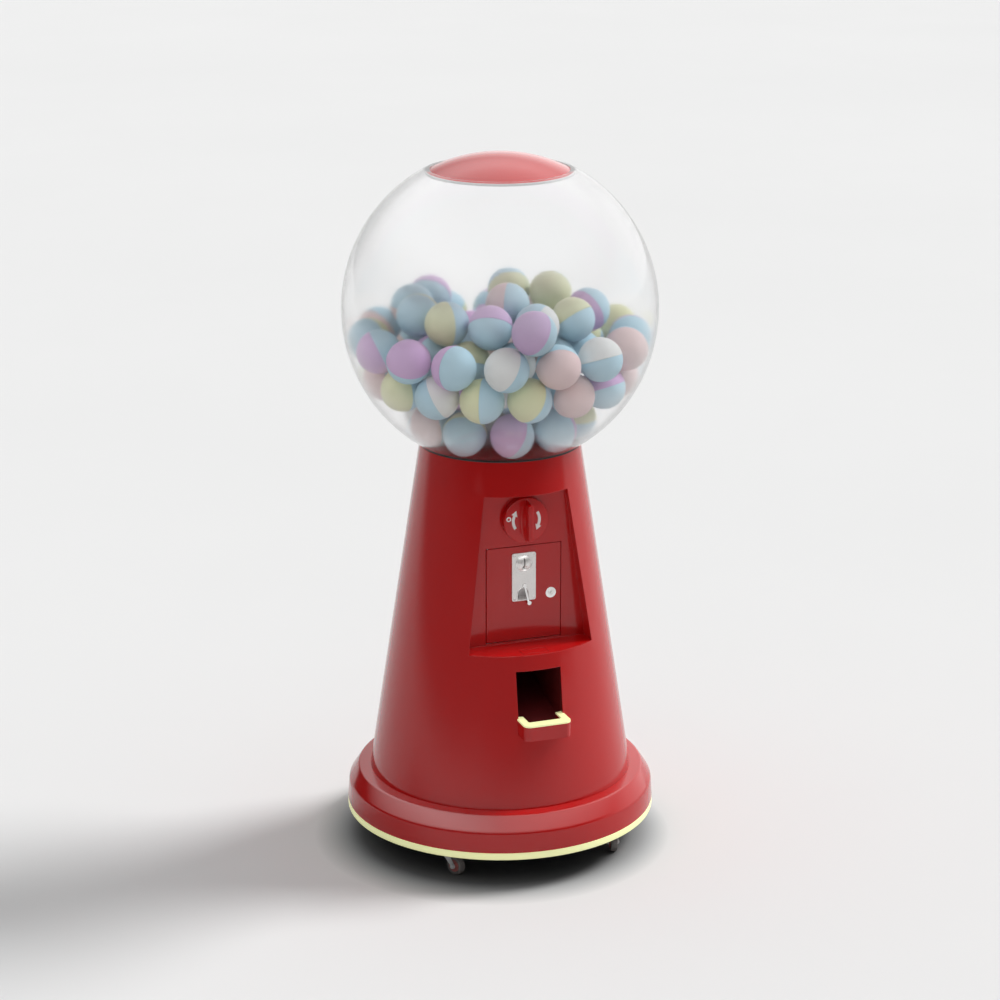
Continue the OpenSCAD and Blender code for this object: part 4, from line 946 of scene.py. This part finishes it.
class CAPMACHINE_OT_knob(bpy.types.Operator):
    """Makes the knob with its grip and finishes its printed marks"""

    bl_idname = "capmachine.knob"
    bl_label = "Knob"

    def execute(self, context):
        axis_z = 0.907
        back_y = -0.1745
        disc = 0.059
        face = 0.018
        bore = 0.00805
        bore_depth = 0.014
        edge = context.scene.machine_sizes.knob_round
        outline = [
            (0, face), (disc, face), (disc, 0), (bore, 0), (bore, bore_depth), (0, bore_depth)
        ]
        cuts = [0, edge, edge / 2, 0.0005, 0, 0]
        place = front_place(0, back_y, axis_z)
        form = turned(soften(outline, cuts, steps=5, closed=False), 128, place, closed=False)
        form.stack(self.grip(face), place)
        make_piece("knob_dial", form, "knob", lacquer("Knob lacquer", 0.001), ("knob",))
        print_white = finish(
            "Printed white", (0.93, 0.93, 0.91), (0.86, 0.86, 0.84), cloud=60.0,
            roughness=(0.4, 0.55), bump=0.05,
        )
        paint_nodes(print_white, "knob_marks")
        return {"FINISHED"}

    def grip(self, face):
        """Outlines of the grip, from a lens-shaped root to a square-ended bar at the front."""
        height = 0.036
        root_long = 0.113
        bar_long = 0.094
        root_share = 0.42
        front_round = 0.0025
        sink = 0.0002
        steps = [(0.0, 0.0022), (0.0012, 0.0009), (0.003, 0.0)]
        steps += [(share * height, 0.0) for share in (0.15, 0.22, 0.29, 0.36, 0.42, 0.60, 0.80)]
        for turn in range(1, 6):
            angle = 0.5 * math.pi * turn / 5
            drop = front_round * (1 - math.sin(angle))
            steps.append((height - drop, -front_round * (1 - math.cos(angle))))
        levels = []
        for rise, grow in steps:
            share = min(1.0, rise / height / root_share)
            long = root_long + (bar_long - root_long) * share + 2 * grow
            points = self.grip_outline(long, share, grow)
            levels.append([(x, y, face + rise - sink) for x, y in points])
        return levels

    def grip_outline(self, long, share, grow):
        """A pointed oval that turns into a narrow bar with square ends as share goes to one."""
        root_wide = 0.026
        bar_wide = 0.013
        squareness = 40
        narrowest = 0.0004
        radius = (long ** 2 + root_wide ** 2) / (4 * root_wide)
        outline = []
        for side in (1, -1):
            for step in range(25):
                y = side * long / 2 * math.sin(math.radians(-89.5 + 179 * step / 24))
                oval = math.sqrt(radius ** 2 - y ** 2) - radius + root_wide / 2
                tip = max(0.0, 1 - abs(2 * y / long) ** squareness)
                bar = bar_wide / 2 * math.sqrt(tip)
                half = oval * (1 - share) + bar * share + grow
                outline.append((side * max(half, narrowest), y))
        return outline


class CAPMACHINE_OT_door(bpy.types.Operator):
    """Finishes the service door, its hinge, the lock and the coin mechanism"""

    bl_idname = "capmachine.door"
    bl_label = "Service door"

    def execute(self, context):
        paint_nodes(lacquer("Door lacquer", context.scene.machine_sizes.painted_round), "door")
        paint_nodes(steel("Hinge steel"), "door_hinge")
        paint_nodes(steel("Chromed lock", (0.93, 0.92, 0.90), roughness=(0.15, 0.25)), "lock_body")
        paint_nodes(steel("Key plug", (0.88, 0.87, 0.85), roughness=(0.2, 0.3)), "lock_plug")
        casting = finish(
            "Coin mechanism casting", (0.30, 0.31, 0.33), (0.24, 0.25, 0.27), cloud=30.0,
            roughness=(0.45, 0.6), rough_grain=150.0, metallic=0.7, bump=0.2, bump_grain=500.0,
            edge_radius=0.0008, edge_colour=(0.6, 0.6, 0.6),
        )
        paint_nodes(casting, "coin_mech")
        return {"FINISHED"}


class CAPMACHINE_OT_coin_plate(bpy.types.Operator):
    """Finishes the coin plate and adds its coin ring, the cup's bright rim and the screw heads"""

    bl_idname = "capmachine.coin_plate"
    bl_label = "Coin plate"

    def execute(self, context):
        brushed = finish(
            "Brushed plate", (0.92, 0.90, 0.88), (0.87, 0.85, 0.83), cloud=30.0,
            roughness=(0.26, 0.38), rough_grain=260.0, metallic=0.65, bump=0.15, bump_grain=500.0,
            bump_depth=0.0001, stretch=(12, 1, 1), edge_radius=0.0007, edge_colour=(0.9, 0.9, 0.9),
        )
        chrome = steel("Chromed trim", (0.86, 0.85, 0.84), roughness=(0.10, 0.20))
        paint_nodes(brushed, "coin_plate")
        paint_nodes(steel("Plate screw steel", (0.80, 0.79, 0.78)), "plate_screws")
        cup = finish(
            "Cup zinc", (0.95, 0.94, 0.93), (0.88, 0.87, 0.86), cloud=40.0, roughness=(0.25, 0.4),
            rough_grain=250.0, metallic=0.1, bump=0.1, bump_grain=700.0, bump_depth=0.0001,
            edge_radius=0.0005, edge_colour=(0.9, 0.9, 0.9),
        )
        paint_nodes(cup, "return_cup")
        paint_nodes(chrome, "return_lever")
        front_y = -0.1770
        ring_height = 0.0995
        rim_height = 0.002
        self.make_coin_ring(front_y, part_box("coin_plate")[0].z + ring_height, chrome)
        self.make_cup_rim(front_y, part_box("return_cup")[0].z + rim_height, chrome)
        self.make_screw_heads(front_y)
        return {"FINISHED"}

    def make_coin_ring(self, front_y, axis_z, chrome):
        """The raised bead round the coin entry."""
        inner = 0.0204
        outer = 0.0222
        proud = 0.0014
        bead = [(inner, 0), (inner, proud), (outer, proud), (outer, 0)]
        place = front_place(0, front_y, axis_z)
        form = turned(soften(bead, [0, 0.0008, 0.0008, 0]), 96, place)
        make_piece("coin_ring", form, "door", chrome)

    def make_cup_rim(self, front_y, low_z, chrome):
        """The bright arch round the return cup's opening."""
        centre_x = -0.0025
        half = 0.0145
        height = 0.031
        width = 0.0018
        proud = 0.0012
        edge = 0.0003
        outlines = []
        for reach, depth in ((0.0001, 0), (edge, proud), (width - edge, proud), (width, 0)):
            radius = half + reach
            outline = [(centre_x + radius, -reach)]
            outline += arc(radius, 0, 180, 24, (centre_x, height - half))
            outline += [(centre_x - radius, -reach)]
            outlines.append([(x, y, depth) for x, y in outline])
        form = Form()
        form.stack_ring(outlines, front_place(0, front_y, low_z))
        make_piece("cup_rim", form, "door", chrome)

    def make_screw_heads(self, front_y):
        """Domed heads with a round recess, over the four flat screw heads."""
        flat_radius = 0.0026
        flat_height = 0.0012
        dome = [
            (0.0024, 0), (0.0022, 0.0004), (0.0016, 0.0007), (0.0013, 0.0007), (0.0012, 0.0002),
            (0, 0.0002),
        ]
        low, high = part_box("plate_screws")
        form = Form()
        for x in (low.x + flat_radius, high.x - flat_radius):
            for z in (low.z + flat_radius, high.z - flat_radius):
                place = front_place(x, front_y - flat_height, z)
                form.turn(dome, 24, place, closed=False)
        screw = steel("Screw head steel", (0.80, 0.79, 0.78), roughness=(0.15, 0.3))
        make_piece("screw_heads", form, "door", screw)


class CAPMACHINE_OT_tray(bpy.types.Operator):
    """Finishes the delivery tray, its light strip and the chute"""

    bl_idname = "capmachine.tray"
    bl_label = "Tray and chute"

    def execute(self, context):
        paint_nodes(lacquer("Tray lacquer", 0.001), "tray")
        paint_nodes(glowing("Tray strip glow", 0.35), "tray_light")
        inside = finish(
            "Chute lining", (0.16, 0.012, 0.014), (0.12, 0.009, 0.01), cloud=8.0,
            roughness=(0.4, 0.55), rough_grain=30.0, bump=0.08, bump_grain=200.0, edge_radius=0.001,
        )
        paint_nodes(inside, "chute")
        return {"FINISHED"}


class CAPMACHINE_OT_dispenser(bpy.types.Operator):
    """Finishes the hopper, the dispensing wheel and its drive"""

    bl_idname = "capmachine.dispenser"
    bl_label = "Dispenser"

    def execute(self, context):
        paint_nodes(
            finish(
                "Seat ring coat", (0.20, 0.012, 0.012), (0.16, 0.01, 0.01), cloud=8.0,
                roughness=(0.4, 0.5), edge_radius=0.0008,
            ),
            "seat_ring",
        )
        paint_nodes(plastic("Hopper plastic", (0.22, 0.016, 0.018)), "hopper")
        paint_nodes(plastic("Wheel plastic", (0.26, 0.018, 0.02)), "dispensing_wheel")
        paint_nodes(steel("Guard steel", (0.34, 0.05, 0.05)), "outlet_guard")
        paint_nodes(plastic("Tube plastic", (0.42, 0.42, 0.43)), "drop_tube")
        paint_nodes(steel("Shaft steel", roughness=(0.18, 0.3)), "knob_shaft", "wheel_shaft", "wheel_nut")
        brass = finish(
            "Gear brass", (0.62, 0.44, 0.16), (0.52, 0.35, 0.12), cloud=40.0,
            roughness=(0.3, 0.45), rough_grain=200.0, metallic=1.0, bump=0.1, bump_grain=700.0,
            edge_radius=0.0005, edge_colour=(0.85, 0.7, 0.35),
        )
        paint_nodes(brass, "knob_gear", "wheel_gear")
        bronze = finish(
            "Bearing bronze", (0.42, 0.28, 0.14), (0.34, 0.22, 0.11), cloud=60.0,
            roughness=(0.4, 0.55), metallic=0.9, bump=0.2, bump_grain=600.0, edge_radius=0.0006,
        )
        paint_nodes(bronze, "shaft_bearings")
        return {"FINISHED"}


class CAPMACHINE_OT_cash_box(bpy.types.Operator):
    """Finishes the cash box and its shelf"""

    bl_idname = "capmachine.cash_box"
    bl_label = "Cash box"

    def execute(self, context):
        paint_nodes(steel("Cash box sheet", (0.52, 0.52, 0.52), stretch=(1, 1, 8)), "cash_box")
        paint_nodes(steel("Shelf sheet", (0.30, 0.30, 0.31)), "cash_shelf")
        return {"FINISHED"}


class CAPMACHINE_OT_power(bpy.types.Operator):
    """Finishes the power inlet and the light supply"""

    bl_idname = "capmachine.power"
    bl_label = "Power"

    def execute(self, context):
        paint_nodes(plastic("Inlet plastic", (0.03, 0.03, 0.032)), "power_inlet")
        paint_nodes(steel("Supply case", (0.55, 0.56, 0.57)), "light_supply")
        return {"FINISHED"}


class CAPMACHINE_OT_casters(bpy.types.Operator):
    """Makes the caster wheels' tyres and finishes the forks and hubs"""

    bl_idname = "capmachine.casters"
    bl_label = "Casters"

    def execute(self, context):
        zinc = finish(
            "Fork zinc", (0.95, 0.95, 0.94), (0.88, 0.88, 0.87), cloud=60.0, roughness=(0.25, 0.40),
            rough_grain=250.0, metallic=0.10, bump=0.1, bump_grain=900.0, bump_depth=0.0001,
            edge_radius=0.0004, edge_colour=(0.9, 0.9, 0.9), edge_wear_and_shade=0.6,
        )
        rubber = finish(
            "Tyre rubber", (0.30, 0.27, 0.26), (0.24, 0.22, 0.21), cloud=40.0,
            roughness=(0.55, 0.75), rough_grain=150.0, bump=0.3, bump_grain=600.0, bump_depth=0.0003,
            speckle=((0.4, 0.39, 0.38), 400.0, 0.4),
        )
        nylon = plastic("Hub nylon", (0.62, 0.22, 0.20), edge_radius=0.0008)
        axles = {joint["child"]: joint for joint in frame["record"]["behaviour"]["joints"]}
        for corner in CORNERS:
            paint_nodes(zinc, "caster_fork_" + corner)
            paint_nodes(nylon, "caster_hub_" + corner)
            paint_nodes(rubber, "caster_tyre_" + corner)
            axle = axles["wheel_" + corner]
            self.make_tyre(corner, axis_place(axle["pos_m"], axle["axis"]), rubber)
        return {"FINISHED"}

    def make_tyre(self, corner, place, rubber):
        """A tyre with a crowned tread, round shoulders and two fine grooves."""
        tread = 0.0250
        seat = 0.0170
        half = 0.0090
        crown = 0.0006
        shoulder_in = 0.0025
        shoulder_down = 0.0012
        groove_lip = tread - 0.0001
        groove_floor = tread - 0.0007
        groove_at = 0.0036
        groove_half = 0.0005
        upper = [
            (seat, half - 0.0008), (seat + 0.002, half), (tread - shoulder_in, half),
            (tread - crown, half - shoulder_down), (groove_lip, groove_at + groove_half),
            (groove_floor, groove_at + groove_half / 2), (groove_floor, groove_at - groove_half / 2),
            (groove_lip, groove_at - groove_half), (tread, 0.0008),
        ]
        lower = [(radius, -height) for radius, height in reversed(upper)]
        cuts = [0.0004, 0.0004, 0.0012, 0.0010, 0, 0, 0, 0, 0]
        form = turned(soften(upper + lower, cuts + cuts[::-1], steps=2), 64, place)
        make_piece("tyre_" + corner, form, "wheel_" + corner, rubber, ("caster_tyre_" + corner,))


class CAPMACHINE_PT_panel(bpy.types.Panel):
    """Lists the machine's settings and the steps that make its pieces"""

    bl_idname = "CAPMACHINE_PT_panel"
    bl_label = "Capsule machine"
    bl_space_type = "VIEW_3D"
    bl_region_type = "UI"
    bl_category = "Capsule machine"

    def draw(self, context):
        layout = self.layout
        for group in ("machine_colours", "machine_sizes", "machine_studio"):
            settings = getattr(context.scene, group)
            box = layout.box()
            for key in settings.__annotations__:
                box.prop(settings, key)
        for operator in STEPS:
            layout.operator(operator.bl_idname)


GROUPS = {
    "machine_colours": MachineColours,
    "machine_sizes": MachineSizes,
    "machine_studio": StudioSettings,
}
STEPS = (
    CAPMACHINE_OT_stage,
    CAPMACHINE_OT_housing,
    CAPMACHINE_OT_base,
    CAPMACHINE_OT_globe,
    CAPMACHINE_OT_capsules,
    CAPMACHINE_OT_knob,
    CAPMACHINE_OT_door,
    CAPMACHINE_OT_coin_plate,
    CAPMACHINE_OT_tray,
    CAPMACHINE_OT_dispenser,
    CAPMACHINE_OT_cash_box,
    CAPMACHINE_OT_power,
    CAPMACHINE_OT_casters,
)


def register():
    """Registers the settings, the steps and the panel."""
    for key, group in GROUPS.items():
        bpy.utils.register_class(group)
        setattr(bpy.types.Scene, key, bpy.props.PointerProperty(type=group))
    for operator in STEPS:
        bpy.utils.register_class(operator)
    bpy.utils.register_class(CAPMACHINE_PT_panel)


def unregister():
    """Takes the panel, the steps and the settings away again."""
    bpy.utils.unregister_class(CAPMACHINE_PT_panel)
    for operator in reversed(STEPS):
        bpy.utils.unregister_class(operator)
    for key, group in GROUPS.items():
        delattr(bpy.types.Scene, key)
        bpy.utils.unregister_class(group)


def main():
    """Builds the whole machine."""
    register()
    bpy.ops.capmachine.stage()
    bpy.ops.capmachine.housing()
    bpy.ops.capmachine.base()
    bpy.ops.capmachine.globe()
    bpy.ops.capmachine.capsules()
    bpy.ops.capmachine.knob()
    bpy.ops.capmachine.door()
    bpy.ops.capmachine.coin_plate()
    bpy.ops.capmachine.tray()
    bpy.ops.capmachine.dispenser()
    bpy.ops.capmachine.cash_box()
    bpy.ops.capmachine.power()
    bpy.ops.capmachine.casters()


if __name__ == "__main__":
    main()
